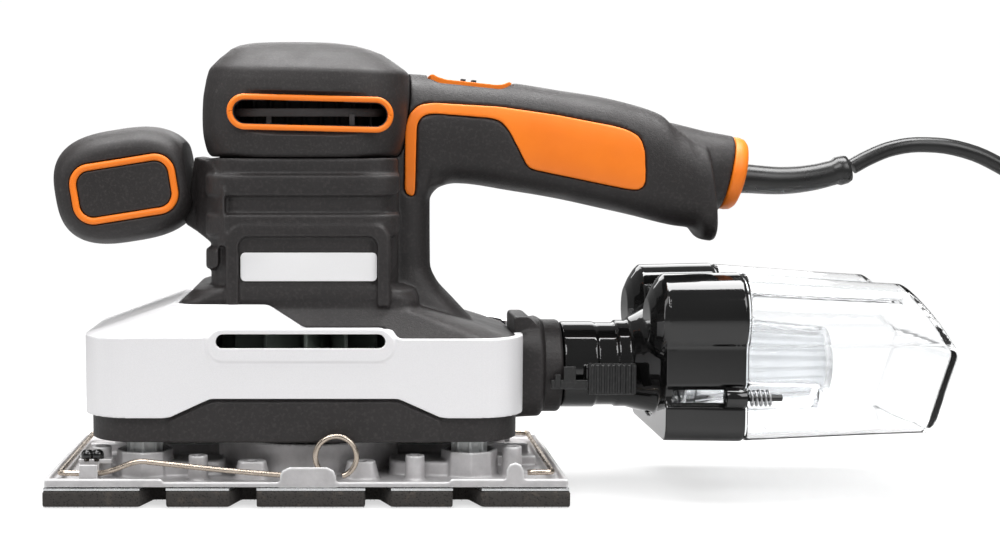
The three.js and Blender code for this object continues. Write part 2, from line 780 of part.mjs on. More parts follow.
// One enamelled-wire coil round the pole on the -Y side.
function fieldCoil() {
  const [z0, z1] = MOTOR.coreZ;
  const line = new THREE.CatmullRomCurve3(
    [
      [-19.6, -8.2, z0 - 0.6],
      [-19.6, -8.2, z1 + 0.6],
      [-16, -14.4, z1 + 3.8],
      [0, -21.4, z1 + 4],
      [16, -14.4, z1 + 3.8],
      [19.6, -8.2, z1 + 0.6],
      [19.6, -8.2, z0 - 0.6],
      [16, -14.4, z0 - 3.8],
      [0, -21.4, z0 - 4],
      [-16, -14.4, z0 - 3.8],
    ].map((p) => new THREE.Vector3(...p)),
    true,
    "centripetal",
  );
  const rings = [];
  const steps = 20;
  const frames = line.computeFrenetFrames(steps, true);
  for (let i = 0; i < steps; i++) {
    const c = line.getPointAt(i / steps);
    const ring = [];
    for (let k = 0; k < 6; k++) {
      const a = (k * Math.PI) / 3;
      const p = c
        .clone()
        .addScaledVector(frames.normals[i], 2.1 * Math.cos(a))
        .addScaledVector(frames.binormals[i], 2.1 * Math.sin(a));
      ring.push([p.x, p.y, p.z]);
    }
    rings.push(ring);
  }
  return loft(rings, true);
}

function ballBearing(x, z0, outer, bore, width) {
  const groove = width * 0.12;
  return turned(
    [
      [bore, z0],
      [outer, z0],
      [outer, z0 + width],
      [outer * 0.84, z0 + width - groove],
      [bore * 1.35, z0 + width - groove],
      [bore, z0 + width],
      [bore, z0],
    ],
    x,
    0,
    18,
  );
}

function coolingFan() {
  const hub = join(
    post(0, 0, FAN.bottom, FAN.bottom + 1.5, FAN.radius, FAN.radius, 36),
    post(0, 0, FAN.bottom, FAN.top, 9, 8, 20),
  );
  const blades = [];
  for (let i = 0; i < FAN.blades; i++) {
    const angle = (2 * Math.PI * i) / FAN.blades;
    const blade = new THREE.BoxGeometry(FAN.radius - 14, 1.3, FAN.top - FAN.bottom - 0.4);
    blade.rotateZ(-0.35);
    blade.translate((FAN.radius + 12) / 2, 0, (FAN.bottom + FAN.top) / 2);
    blade.rotateZ(angle);
    blades.push(placed(blade));
  }
  return cut(
    join(hub, ...blades).intersect(post(0, 0, 40, 80, FAN.radius, FAN.radius, 36)),
    post(0, 0, 40, 80, MOTOR.shaftR + GAP, MOTOR.shaftR + GAP, 16),
  );
}

// Half-disc weight whose off-centre pin drives the platen.
function eccentricWeight() {
  const disc = post(0, 0, 27, 34.5, 25, 25, 32);
  const halfDisc = cut(disc, block(4, 40, -40, 40, 20, 40));
  return cut(
    join(halfDisc, post(0, 0, 26, 36, 9, 9, 20), post(ORBIT, 0, 11, 27, 5, 5, 20)),
    post(0, 0, 30, 40, MOTOR.shaftR + GAP, MOTOR.shaftR + GAP, 16),
  );
}

function brushCarrier() {
  const ring = cut(post(0, 0, 104.8, 106.8, 29.4, 29.4, 28), post(0, 0, 100, 120, 17.5, 17.5, 20));
  const boxes = [-1, 1].map((side) => {
    const box = block(-4.6, 4.6, side > 0 ? 14 : -28.5, side > 0 ? 28.5 : -14, 105, 115);
    return cut(box, block(-3.3, 3.3, side > 0 ? 5 : -40, side > 0 ? 40 : -5, 107.2, 112.8));
  });
  return join(ring, ...boxes);
}

function buildMotor() {
  const [z0, z1] = MOTOR.coreZ;
  add("stator_core", statorCore(), steel);
  addPair("field_coil", fieldCoil(), copper);
  add("brush_carrier", brushCarrier(), carbon);
  addPair("carbon_brush", block(-3, 3, -26.5, -11.4, 107.5, 112.5), carbon);
  add("upper_bearing", ballBearing(0, 119.8, BEARING.outerR, 4 + GAP, BEARING.width), steel);
  add("lower_bearing", ballBearing(0, 39, BEARING.outerR, 4 + GAP, BEARING.width), steel);
  const shaft = join(
    post(0, 0, 30.4, 131, MOTOR.shaftR, MOTOR.shaftR, 20),
    post(0, 0, 64, 67, 7, 7, 16),
  );
  add("motor_shaft", shaft, steel);
  const slots = [];
  for (let i = 0; i < 10; i++) {
    const a = (2 * Math.PI * i) / 10;
    const slot = new THREE.BoxGeometry(5, 2.2, z1 - z0 + 4);
    slot.translate(15, 0, (z0 + z1) / 2);
    slot.rotateZ(a);
    slots.push(placed(slot));
  }
  const bore = (r0, r1) => post(0, 0, r0, r1, MOTOR.shaftR + GAP, MOTOR.shaftR + GAP, 16);
  const core = cut(post(0, 0, z0, z1, MOTOR.coreR, MOTOR.coreR, 30), ...slots, bore(60, 120));
  add("armature_core", core, steel);
  add("commutator", cut(post(0, 0, 104.5, 116, 11, 11, 24), bore(100, 120)), copper);
  add("cooling_fan", coolingFan(), fanGrey);
  add("eccentric_weight", eccentricWeight(), steel);
}

// ---------------------------------------------------------------- platen, pad and paper clamps
const platen = new THREE.Group();
platen.position.x = ORBIT;
sander.add(platen);

// Dust notches in each long edge: outer ends, then the narrower inner ends.
const NOTCHES = [
  [-59, -49.7, -55, -49.7],
  [-27.3, -17.6, -23.3, -17.6],
  [20.9, 30, 20.9, 26],
  [51.9, 62.1, 51.9, 58.1],
];
const NOTCH_DEPTH = 12;

function padOutline(length, width) {
  const [hx, hy] = [length / 2, width / 2];
  const edge = NOTCHES.flatMap(([x0, x1, in0, in1]) => [
    [x0, 0],
    [in0, NOTCH_DEPTH],
    [in1, NOTCH_DEPTH],
    [x1, 0],
  ]);
  return [
    [-hx, -hy],
    ...edge.map(([x, depth]) => [x, -hy + depth]),
    [hx, -hy],
    [hx, hy],
    ...edge.map(([x, depth]) => [-x, hy - depth]),
    [-hx, hy],
  ];
}

// Thick web beside each leg socket.
const ARM = [
  [30, 18],
  [30, 30],
  [33, 32.6],
  [50, 34.2],
  [56.4, 32.4],
  [58, 28],
  [58, 18],
];

// Cast platen: flat web with rim, hub drum, leg sockets, posts and ribs.
function basePlate() {
  const [hx, hy] = [PAD.length / 2 - 0.8, PAD.width / 2 - 0.2];
  const floor = PLATE.base;
  const frame = (top, x0, x1) =>
    cut(
      block(x0, x1, -hy, hy, floor, top),
      block(
        -hx + PLATE.rimWidth,
        hx - PLATE.rimWidth,
        -hy + PLATE.rimWidth,
        hy - PLATE.rimWidth,
        6,
        20,
      ),
    );
  const drum = cut(
    post(0, 0, floor, HUB.top, HUB.radius, HUB.radius, 32),
    post(0, 0, PLATE.floor, 30, HUB.radius - HUB.wall, HUB.radius - HUB.wall, 32),
  );
  const extras = LEGS.map(([x, y]) => post(x, y, floor, 18.2, 10.6, 10.3, 8));
  for (const s of [-1, 1])
    for (const t of [-1, 1]) {
      extras.push(post(s * 38.8, t * 38.2, floor, 17.6, 3.7, 3.4, 10));
      const boss = (halfX, halfY, r) =>
        roundRect(s * 19.6 - halfX, s * 19.6 + halfX, t * 36.6 - halfY, t * 36.6 + halfY, r, 3);
      const foot = boss(6.4, 4.2, 3.6);
      extras.push(loft([level(foot, floor), level(foot, 9.6), level(boss(5, 2.8, 2.4), 15.4)]));
      extras.push(post(s * 74.2, t * 31.4, floor, 19.6, 3.8, 3.5, 10));
      extras.push(floorPlate(ARM.map(([x, y]) => [s * x, t * y]), floor, 14));
      extras.push(block(s * 57 - 28, s * 57 + 28, t * 13 - 0.9, t * 13 + 0.9, floor, 12.6));
    }
  const hump = [
    [-9.4, floor],
    [-9.4, 11.4],
    [-8.6, 13.4],
    [-6, 14.6],
    [7.4, 14.6],
    [9.8, 13.4],
    [10.6, 11.4],
    [10.6, floor],
  ];
  const tab = [
    [70.8, floor],
    [70.8, 13.4],
    [71.7, 15.4],
    [73.9, 16.3],
    [76.1, 15.4],
    [77, 13.4],
    [77, floor],
  ];
  const edgeTabs = [sidePlate(hump, -hy - 0.1, -hy + 0.5), sidePlate(tab, -hy, -hy + 1.6)];
  return cut(
    join(
      block(-hx, hx, -hy, hy, floor, PLATE.floor),
      frame(9.3, -hx, hx),
      frame(PLATE.rim, -hx, -51),
      frame(PLATE.rim, 51, hx),
      drum,
      post(0, 0, floor, 20.8, 15, 14.4, 24),
      ...extras,
      ...edgeTabs,
      ...edgeTabs.map(halfTurn),
    ),
    post(0, 0, 11, 30, 12.3, 12.3, 24),
    ...LEGS.map(([x, y]) => post(x, y, PLATE.floor + 0.4, 30, 8.8, 8.8, 8)),
  );
}

// White elastomer-tipped column that lets the platen shake without turning.
function supportLeg(x, y) {
  const ribs = [0, 1, 2].map((i) => {
    const rib = new THREE.BoxGeometry(13, 1.6, 14);
    rib.rotateZ((i * Math.PI) / 3);
    rib.translate(x, y, 18);
    return placed(rib);
  });
  return join(post(x, y, PLATE.floor + 0.7, 37.6, 5.2, 5.2, 12), ...ribs);
}

// Channel that the clamp wire lies in, with a screwed-down lip; it is open above the wire.
function clampBracket() {
  const y = LEVER.innerY;
  const dome = [
    [0, 16],
    [2.2, 16],
    [2.2, 18.4],
    [1.3, 19.4],
    [0, 19.6],
  ];
  return join(
    block(-80.6, -74, y - 2.6, y + 5, PLATE.floor + GAP, 10.3),
    block(-80.6, -74, y - 2.6, y - 1.3, PLATE.floor + GAP, 15),
    block(-80.6, -74, y + 1.3, y + 5, PLATE.floor + GAP, 15),
    block(-81.4, -69.4, y + 1.3, y + 5.6, 14.8, 16.4),
    turned(dome, -78.4, y + 3.4, 10),
    turned(dome, -74.8, y + 3.4, 10),
  );
}

// Sprung wire: finger ring, long lever, and the bar that grips the paper along the front edge.
function clampWire() {
  const ring = { x: 10.5, z: 18.7, radius: 7.6, turn: (320 * Math.PI) / 180 };
  const loop = [];
  const start = -0.62 * Math.PI - ring.turn;
  for (let i = 0; i <= 10; i++) {
    const a = start + (ring.turn * i) / 10;
    loop.push([ring.x + ring.radius * Math.cos(a), LEVER.y, ring.z + ring.radius * Math.sin(a)]);
  }
  const { y, innerY, pivotX, pivotZ } = LEVER;
  const arm = [
    [2, y, 11.2],
    [-9, y, 11.6],
    [-30, y, 13.4],
    [-52, y, 15.8],
    [-60, y, 16.3],
    [-68, y + 0.8, 13.4],
    [-74, innerY - 0.2, pivotZ],
    [-84, innerY, pivotZ],
    [-86.9, innerY + 0.5, pivotZ],
    [pivotX, innerY + 2, pivotZ],
    [pivotX, -30, pivotZ],
    [pivotX, 30, pivotZ],
    [pivotX, 37, pivotZ],
    [pivotX + 1.4, 39.4, pivotZ],
    [pivotX + 9, 40, pivotZ],
  ];
  return bentBar([...loop, ...arm], LEVER.wireR, 52, 6);
}

function buildPlaten() {
  const { length, width, foamTop, backingTop } = PAD;
  const onPlaten = (name, solid, material) => add(name, solid, material, platen);
  onPlaten("foam_pad", floorPlate(padOutline(length, width), 0, foamTop), foam);
  const backing = floorPlate(padOutline(length - 1, width - 0.6), foamTop + 0.2, backingTop);
  onPlaten("pad_backing", backing, castAlloy);
  onPlaten("base_plate", basePlate(), castAlloy);
  onPlaten("platen_bearing", ballBearing(0, 12, 12, 5 + GAP, 8), steel);
  LEGS.forEach(([x, y]) => {
    const name = "support_leg_" + (x < 0 ? "front" : "rear") + (y < 0 ? "_left" : "_right");
    onPlaten(name, supportLeg(x, y), nylon);
  });
  const wire = solidOf(clampWire());
  const bracket = clampBracket();
  for (const [end, turn] of [
    ["front", 0],
    ["rear", Math.PI],
  ]) {
    const half = new THREE.Group();
    half.rotation.z = turn;
    platen.add(half);
    add("clamp_wire_" + end, wire, steel, half);
    add("clamp_bracket_" + end, bracket, castAlloy, half);
  }
}

// ---------------------------------------------------------------- dust canister
// Two round lobes over a square-cornered lower body, lofted between stations along X.
function canisterLoft(stations, grow) {
  const lobes = [-1, 1].map((side) =>
    loft(
      stations.map((s) =>
        upright(
          superRing(side * s.lobeY, s.lobeZ, s.lobeR + grow, s.lobeR + grow, 2, 16),
          s.x,
        ),
      ),
    ),
  );
  const low = loft(
    stations.map((s) =>
      upright(
        roundRect(
          -s.halfLow - grow,
          s.halfLow + grow,
          s.bottom - grow,
          s.lobeZ - 2 + grow,
          6 + grow,
          3,
        ),
        s.x,
      ),
    ),
  );
  const bridge = loft(
    stations.map((s) =>
      upright(
        roundRect(-s.lobeY, s.lobeY, s.lobeZ - 12, s.lobeZ + s.lobeR * 0.55 + grow, 4, 3),
        s.x,
      ),
    ),
  );
  return join(...lobes, low, bridge);
}

const stationAt = (x, shrink) => ({
  x,
  lobeY: CANISTER.lobeY - shrink * 0.35,
  lobeZ: CANISTER.lobeZ - shrink * 0.5,
  lobeR: CANISTER.lobeR - shrink * 0.5,
  bottom: CANISTER.bottom + shrink * 0.55,
  halfLow: CANISTER.halfLow - shrink * 0.5,
});

const GROOVE = { z: 38, r: 4.4, y: 37.4 };

function canisterHead() {
  const body = canisterLoft([stationAt(130, 0.6), stationAt(158.7, 0)], 0);
  const nose = loft([
    upright(superRing(0, 46, DUCT.outerR + 1, DUCT.outerR + 1, 2, 20), 121.5),
    upright(superRing(0, 48, 27, 21, 2.4, 20), 131),
  ]);
  const hollow = canisterLoft([stationAt(133, 2), stationAt(170, 2)], -2.4 + 1);
  const lobeTips = [-1, 1].map((side) => {
    const tip = (x, z, r) => upright(superRing(side * CANISTER.lobeY, z, r, r, 2, 16), x);
    return loft([tip(124.6, 64.4, 8), tip(130, CANISTER.lobeZ - 0.3, CANISTER.lobeR - 0.3)]);
  });
  const tube = join(
    rod(85.2, OUTLET.rear + 0.8, 0, DUCT.z, DUCT.outerR - 1.2, 28),
    rod(OUTLET.rear + 0.6, 108.6, 0, DUCT.z + 0.6, 16.2, 28),
    rod(108.6, 116.6, 0, DUCT.z + 0.8, 15.6, 28),
    rod(116.6, 124, 0, DUCT.z + 1, 16.4, 28),
  );
  const bore = rod(80, 135, 0, DUCT.z + 0.4, DUCT.innerR, 24);
  const groove = [-1, 1].map((side) => rod(128, 170, side * GROOVE.y, GROOVE.z, GROOVE.r, 14));
  const latchPad = block(103.6, 108.4, -18.4, -14, 38.6, 46.8);
  return cut(
    join(cut(body, hollow), nose, ...lobeTips, tube, latchPad, acrossY(latchPad)),
    bore,
    ...groove,
    rod(128, 140, 0, 46, 20, 24),
  );
}

function dustBin() {
  const stations = (inset) => [
    stationAt(CANISTER.seamX + GAP, 0.4),
    stationAt(200, 3.4),
    stationAt(244, 6),
  ].map((s) => ({ ...s, x: s.x + (s.x < 160 ? -inset * 3 : 0) }));
  const endProfile = (back) => [
    [150, 10],
    [223 - back, 10],
    [226 - back, 22],
    [236 - back, 53.6],
    [217 - back, 78],
    [205 - back, 90],
    [150, 90],
  ];
  const outer = canisterLoft(stations(0), 0).intersect(sidePlate(endProfile(0), -60, 60));
  const inner = canisterLoft(stations(1), -2).intersect(sidePlate(endProfile(2.2), -60, 60));
  const groove = [-1, 1].map((side) => rod(150, 183, side * GROOVE.y, GROOVE.z, GROOVE.r, 14));
  const grooveWall = [-1, 1].map((side) => rod(150, 185, side * GROOVE.y, GROOVE.z, 6.2, 14));
  return cut(outer, cut(inner, ...grooveWall), ...groove);
}

// Pleated cone that keeps fine dust out of the outlet.
function filterCone() {
  const ring = (r, x) => upright(superRing(0, 46.5, r, r, 2, 20), x);
  const outer = loft([ring(21, 141), ring(21, 144), ring(18.6, 144.2), ring(13, 196)]);
  const inner = loft([ring(17.4, 140), ring(11.4, 194)]);
  return cut(outer, inner);
}

function latch() {
  return join(
    block(104.2, 121.4, -22, -19, 36.8, 48.2),
    block(90.6, 105, -20.6, -19.2, 38.6, 42),
    block(92, 94, -20.6, -19.2, 39.4, 44),
    block(95.2, 99.6, -20.6, -18.6, 41, 47),
  );
}

function buildCanister() {
  add("canister_head", canisterHead(), glossBlack);
  add("dust_bin", dustBin(), clear);
  add("filter_cone", filterCone(), nylon);
  addPair("canister_latch", latch(), black);
  const lockPin = join(
    rod(150.6, 158, -GROOVE.y, GROOVE.z, 3.7, 16),
    rod(157.8, 171, -GROOVE.y, GROOVE.z, 1.3, 12),
  );
  add("lock_pin", lockPin, glossBlack);
  const coil = [];
  for (let i = 0; i <= 40; i++) {
    const a = (i / 40) * 5 * 2 * Math.PI;
    coil.push([
      159 + (i / 40) * 8,
      -GROOVE.y + 2.7 * Math.cos(a),
      GROOVE.z + 2.7 * Math.sin(a),
    ]);
  }
  add("lock_spring", solidOf(bentBar(coil, 0.4, 40, 4)), steel);
}

// ---------------------------------------------------------------- switch and cord
function buildSwitch() {
  const pivot = new THREE.Group();
  pivot.position.set(SWITCH.x, 0, SWITCH.z);
  pivot.rotation.y = SWITCH.lean;
  sander.add(pivot);
  const liner = sidePlate(
    [
      [-15.2, 2.2],
      [-14, 2.6],
      [-12.4, 1.4],
      [-9, 0.5],
      [10, 0.5],
      [12.6, 1.3],
      [14.2, 2.7],
      [15.4, 2.3],
      [14.4, 0],
      [11.6, -1.2],
      [-11.6, -1.2],
      [-14.6, 0],
    ],
    -8.8,
    8.8,
  );
  add("switch_bezel", cut(liner, block(-7.4, 7.4, -4.6, 4.6, -4, 6)), orange, pivot);
  const ridges = [-2.2, 1.8].map((x) => block(x - 0.8, x + 0.8, -3.4, 3.4, 0.8, 2.2));
  const slider = join(
    block(-5.2, 3, -3.6, 3.6, 0.2, 1),
    block(-2.4, 0.2, -2, 2, -6.4, 0.6),
    ...ridges,
  );
  add("switch_slider", slider, black, pivot);
  const body = cut(
    block(-9.6, 9.6, -6.4, 6.4, -20, -1.8),
    block(-6, 6.6, -2.6, 2.6, -7.6, 0),
  );
  add("switch_body", body, carbon, pivot);
}

// Free part of the mains lead, from the sleeve down to the coil on the surface.
const LEAD_ROUTE = [
  [205.4, 0, 120],
  [212, 0, 123.6],
  [221, 0, 127],
  [233, 0, 128.2],
  [248, 0, 126],
  [261, 0, 120.4],
  [275, 0, 111.2],
  [287, 0, 99],
  [295, -1, 86],
  [300, -6, 70],
  [301, -13, 55],
  [300, -22, 41],
  [300, -31, 28],
  [304, -39, 16],
  [313, -45, 7.5],
  [325, -47.4, 3.4],
  [337, -47, 3.1],
];

function buildCord() {
  const ring = new THREE.CylinderGeometry(GLAND.radius, GLAND.radius, GLAND.length, 28)
    .rotateZ(Math.PI / 2)
    .applyMatrix4(leaning(GLAND.lean, GLAND.x, GLAND.z));
  const way = rod(140, 180, 0, CORD_WAY.z, CORD_WAY.radius, 16);
  add("gland_ring", cut(solidOf(ring), way), orange);
  const sleeveLine = [
    [136, 0, 116.2],
    [150, 0, 116.1],
    [165, 0, 115.6],
    [179, 0, 114.8],
    [191, 0, 116],
    [203, 0, 119],
  ];
  add("cord_sleeve", solidOf(bentBar(sleeveLine, 4.9, 12, 10)), black);
  add("mains_lead", solidOf(bentBar(LEAD_ROUTE, CORD.radius, 22, 8)), black);
  const [inner, outer] = [CORD.coilR - CORD.coilBand / 2, CORD.coilR + CORD.coilBand / 2];
  const coilRing = [
    [inner, 0],
    [outer, 0],
    [outer, CORD.coilHeight],
    [inner, CORD.coilHeight],
    [inner, 0],
  ];
  add("cord_coil", turned(coilRing, CORD.coilX, 0, 36), black);
  add("mains_plug", mainsPlug(), black);
}

// Flat two-pin plug lying on top of the coil, with its pins towards the tool.
function mainsPlug() {
  const x = CORD.coilX;
  const y = CORD.coilR;
  const z = CORD.coilHeight + GAP;
  const body = loft([
    upright(roundRect(y - 4, y + 4, z + 2.8, z + 10.8, 3, 3), x + 24),
    upright(roundRect(y - 9, y + 9, z, z + 13.6, 4, 3), x + 10),
    upright(roundRect(y - 9, y + 9, z, z + 13.6, 4, 3), x - 12),
  ]);
  const pins = [-4.5, 4.5].map((side) => rod(x - 29, x - 11, y + side, z + 6.8, 2, 10));
  return join(body, ...pins);
}

// ---------------------------------------------------------------- assembly
const housingShell = upperHousing();
const inlaySlab = (grow) => sidePlate(grown(INLAY, grow), -40, -10);
const inlayFoot = block(36.4, 40.7, -40, -10, 108.4, 111);
const inlayRecess = cut(join(inlaySlab(GAP), inlayFoot), handleLoft(-1.6));
const plaque = (grow) =>
  roundRect(-22.6 - grow, 26.2 + grow, 79.6 - grow, 89.8 + grow, 1.6 + grow, 3);
const plaqueRecess = sidePlate(plaque(0.3), -40, -TUBE.half + 0.8);
const leftHalf = cut(housingShell, inlayRecess, plaqueRecess).intersect(LEFT_SIDE);
add("housing_left", leftHalf, black);
const screwHoles = SCREWS.map(([x, z]) => crossRod(x, -40, 0, z, 1.9, 10));
const screwSinks = SCREWS.map(([x, z]) => crossRod(x, -40, -12.9, z, 3.9, 12));
add("housing_right", cut(leftHalf, ...screwHoles, ...screwSinks), black).scale.y = -1;
SCREWS.forEach(([x, z], i) => {
  const screw = join(crossRod(x, 3, 13.4, z, 1.5, 10), crossRod(x, 13.2, 15.9, z, 3.4, 12));
  add("housing_screw_" + (i + 1), screw, steel);
});
const inlay = cut(inlaySlab(0).intersect(handleLoft(0.1)), handleLoft(-1.3), capShell(GAP));
addPair("grip_inlay", inlay, orange);
addPair("plaque", sidePlate(plaque(0), -TUBE.half - 0.5, -TUBE.half + 0.5), silver);
add("top_cap", topCap(), softBlack);
addPair("vent_ring", ventRing(), orange);
add("air_grille", airGrille(), black);
add("side_cover", sideCover(), silver);
add("base_housing", baseHousing(), black);
add("dust_outlet", dustOutlet(), black);
buildKnob();
buildMotor();
buildPlaten();
buildCanister();
buildSwitch();
buildCord();

export default sander;
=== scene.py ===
"""Orbital sander: the visual model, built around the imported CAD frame.

Lengths are in millimetres; meshes and objects are in metres.
"""

import math

import bmesh
import bpy
import numpy as np
from mathutils import Matrix, Vector


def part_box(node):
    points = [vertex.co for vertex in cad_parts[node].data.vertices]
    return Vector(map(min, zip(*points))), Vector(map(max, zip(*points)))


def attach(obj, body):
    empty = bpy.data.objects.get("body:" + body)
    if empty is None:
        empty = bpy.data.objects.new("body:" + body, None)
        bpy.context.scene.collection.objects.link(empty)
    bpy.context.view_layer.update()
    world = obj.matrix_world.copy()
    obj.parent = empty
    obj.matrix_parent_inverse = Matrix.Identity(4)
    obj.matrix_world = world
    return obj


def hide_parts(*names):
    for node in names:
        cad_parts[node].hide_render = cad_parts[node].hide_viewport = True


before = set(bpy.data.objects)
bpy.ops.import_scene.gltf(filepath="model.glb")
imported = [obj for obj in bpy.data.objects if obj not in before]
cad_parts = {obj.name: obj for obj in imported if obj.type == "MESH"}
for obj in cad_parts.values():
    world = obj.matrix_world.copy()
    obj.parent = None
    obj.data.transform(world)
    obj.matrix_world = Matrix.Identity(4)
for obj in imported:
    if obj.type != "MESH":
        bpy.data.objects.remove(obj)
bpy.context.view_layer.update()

MM = 0.001
TAU = 2 * math.pi
ACROSS = Matrix.Diagonal((1, -1, 1, 1))
HALF_TURN = Matrix.Rotation(math.pi, 4, "Z")
ALL_ACROSS = (-60, 60)  # Y range that passes every part
SIGNS = [(s, t) for s in (-1, 1) for t in (-1, 1)]

# ---------------------------------------------------------------- camera
camera = bpy.data.objects.new("camera", bpy.data.cameras.new("camera"))
bpy.context.scene.collection.objects.link(camera)
camera.location = (0.0126, -0.6199, 0.1281)
camera.rotation_euler = (math.radians(90 - 4.588), 0, 0)
camera.data.lens = 59.22
camera.data.sensor_width = 36
camera.data.shift_x = 0.161
camera.data.clip_start = 0.01
bpy.context.scene.camera = camera


# ---------------------------------------------------------------- outlines and rings
def round_rect(u0, u1, v0, v1, r, steps):
    """A rectangle with round corners as a closed ring of (u, v) points."""
    corners = [(u1 - r, v1 - r), (u0 + r, v1 - r), (u0 + r, v0 + r), (u1 - r, v0 + r)]
    ring = []
    for quarter, (cu, cv) in enumerate(corners):
        for i in range(steps + 1):
            a = (quarter + i / steps) * math.pi / 2
            ring.append((cu + r * math.cos(a), cv + r * math.sin(a)))
    return ring


def super_ring(cu, cv, hu, hv, exponent, count):
    """A superellipse ring: exponent 2 is an ellipse, larger is squarer."""
    ring = []
    for i in range(count):
        a = TAU * i / count
        c, s = math.cos(a), math.sin(a)
        u = hu * math.copysign(abs(c) ** (2 / exponent), c)
        v = hv * math.copysign(abs(s) ** (2 / exponent), s)
        ring.append((cu + u, cv + v))
    return ring


def circle(cu, cv, r, count):
    return super_ring(cu, cv, r, r, 2, count)


def stadium(x0, x1, z, half, steps):
    """A slot outline; x0 and x1 are the centres of its round ends."""
    return round_rect(x0 - half, x1 + half, z - half, z + half, half - 0.01, steps)


def level(ring, z):
    return [(x, y, z) for x, y in ring]


def upright(ring, x):
    return [(x, y, z) for y, z in ring]


def facing(ring, y):
    return [(x, y, z) for x, z in ring]


def signed_area(outline):
    p = np.array(outline)
    q = np.roll(p, -1, axis=0)
    return 0.5 * float(np.sum(p[:, 0] * q[:, 1] - q[:, 0] * p[:, 1]))


def grown(outline, by):
    """The outline with every edge pushed outwards."""
    p = np.array(outline, float)
    turn = 1 if signed_area(outline) > 0 else -1
    edge = np.roll(p, -1, axis=0) - p
    edge /= np.maximum(np.linalg.norm(edge, axis=1), 1e-9)[:, None]
    normal = turn * np.stack([edge[:, 1], -edge[:, 0]], axis=1)
    before = np.roll(normal, 1, axis=0)
    mitre = normal + before
    mitre /= np.maximum((mitre * normal).sum(axis=1), 0.3)[:, None]
    return [tuple(v) for v in p + by * mitre]


def rounded(outline, r, steps):
    """The outline with each corner replaced by an arc-like curve that starts r from it."""
    p = [Vector(v) for v in outline]
    out = []
    for i, corner in enumerate(p):
        back, ahead = p[i - 1] - corner, p[(i + 1) % len(p)] - corner
        a = corner + back.normalized() * min(r, back.length * 0.45)
        b = corner + ahead.normalized() * min(r, ahead.length * 0.45)
        for k in range(steps + 1):
            t = k / steps
            out.append(tuple(a * (1 - t) ** 2 + corner * 2 * t * (1 - t) + b * t * t))
    return out


def spline(stations, per):
    """Rows between the given rows on a smooth curve that never overshoots them."""
    p = np.array(stations, float)
    h = np.linalg.norm(np.diff(p, axis=0), axis=1)
    d = np.diff(p, axis=0) / h[:, None]
    m = np.zeros_like(p)
    m[0], m[-1] = d[0], d[-1]
    for i in range(1, len(p) - 1):
        same = d[i - 1] * d[i] > 0
        m[i][same] = 2 * d[i - 1][same] * d[i][same] / (d[i - 1][same] + d[i][same])
    rows = []
    for i in range(len(p) - 1):
        for t in np.arange(per) / per:
            a, b = 2 * t**3 - 3 * t**2 + 1, t**3 - 2 * t**2 + t
            c, e = -2 * t**3 + 3 * t**2, t**3 - t**2
            rows.append(a * p[i] + b * h[i] * m[i] + c * p[i + 1] + e * h[i] * m[i + 1])
    return rows + [p[-1]]


def curve_through(points, per):
    """A Catmull-Rom line through the points."""
    p = [Vector(v) for v in points]
    p = [p[0] * 2 - p[1], *p, p[-1] * 2 - p[-2]]
    out = []
    for a, b, c, d in zip(p, p[1:], p[2:], p[3:]):
        for i in range(per):
            t = i / per
            curved = (2 * a - 5 * b + 4 * c - d) * t**2 + (3 * b - a - 3 * c + d) * t**3
            out.append(0.5 * (2 * b + (c - a) * t + curved))
    return out + [p[-2]]


# ---------------------------------------------------------------- solids: (points, faces)
def loft(rings, loop=False):
    """A skin through the rings, capped at both ends or closed into a loop."""
    n, count = len(rings[0]), len(rings)
    points = [tuple(v) for ring in rings for v in ring]
    faces = []
    for i in range(count if loop else count - 1):
        for j in range(n):
            k, up = (j + 1) % n, (i + 1) % count
            faces.append((i * n + j, i * n + k, up * n + k, up * n + j))
    if not loop:
        faces.append(tuple(reversed(range(n))))
        faces.append(tuple(range((count - 1) * n, count * n)))
    return points, faces


def side_plate(outline, y0, y1):
    return loft([facing(outline, y0), facing(outline, y1)])


def floor_plate(outline, z0, z1):
    return loft([level(outline, z0), level(outline, z1)])


def block(x0, x1, y0, y1, z0, z1):
    return floor_plate([(x0, y0), (x1, y0), (x1, y1), (x0, y1)], z0, z1)


def post(x, y, z0, z1, r0, r1=None, sides=40):
    return loft([level(circle(x, y, r0, sides), z0), level(circle(x, y, r1 or r0, sides), z1)])


def rod(x0, x1, y, z, r, sides=40):
    return loft([upright(circle(y, z, r, sides), x) for x in (x0, x1)])


def turned(profile, x, y, sides):
    """A closed profile of (radius, z) turned about the vertical through (x, y)."""
    rings = []
    for i in range(sides):
        a = TAU * i / sides
        rings.append([(x + r * math.cos(a), y + r * math.sin(a), z) for r, z in profile])
    return loft(rings, loop=True)


def tube(points, radius, sides):
    """A round bar along the points; radius is a number or one for each point."""
    p = [Vector(v) for v in points]
    radii = radius if isinstance(radius, (list, tuple)) else [radius] * len(p)
    tangent = [(p[min(i + 1, len(p) - 1)] - p[max(i - 1, 0)]).normalized() for i in range(len(p))]
    side = tangent[0].orthogonal().normalized()
    rings = []
    for c, t, r in zip(p, tangent, radii):
        side = (side - t * side.dot(t)).normalized()
        other = t.cross(side)
        ring = []
        for k in range(sides):
            a = TAU * k / sides
            ring.append(c + side * (r * math.cos(a)) + other * (r * math.sin(a)))
        rings.append(ring)
    return loft(rings)


def band(outline, width, y_front, y_back, crown=0.5):
    """A trim ring with a rounded front, swept round an outline in the XZ plane."""
    # share of the width inwards, share of the crown down from the front
    face = [(0, 1), (0.22, 0.15), (0.5, 0), (0.78, 0.15), (1, 1)]
    section = [(0, y_back), *[(-u * width, y_front + v * crown) for u, v in face], (-width, y_back)]
    return loft([facing(grown(outline, g), y) for g, y in section], loop=True)


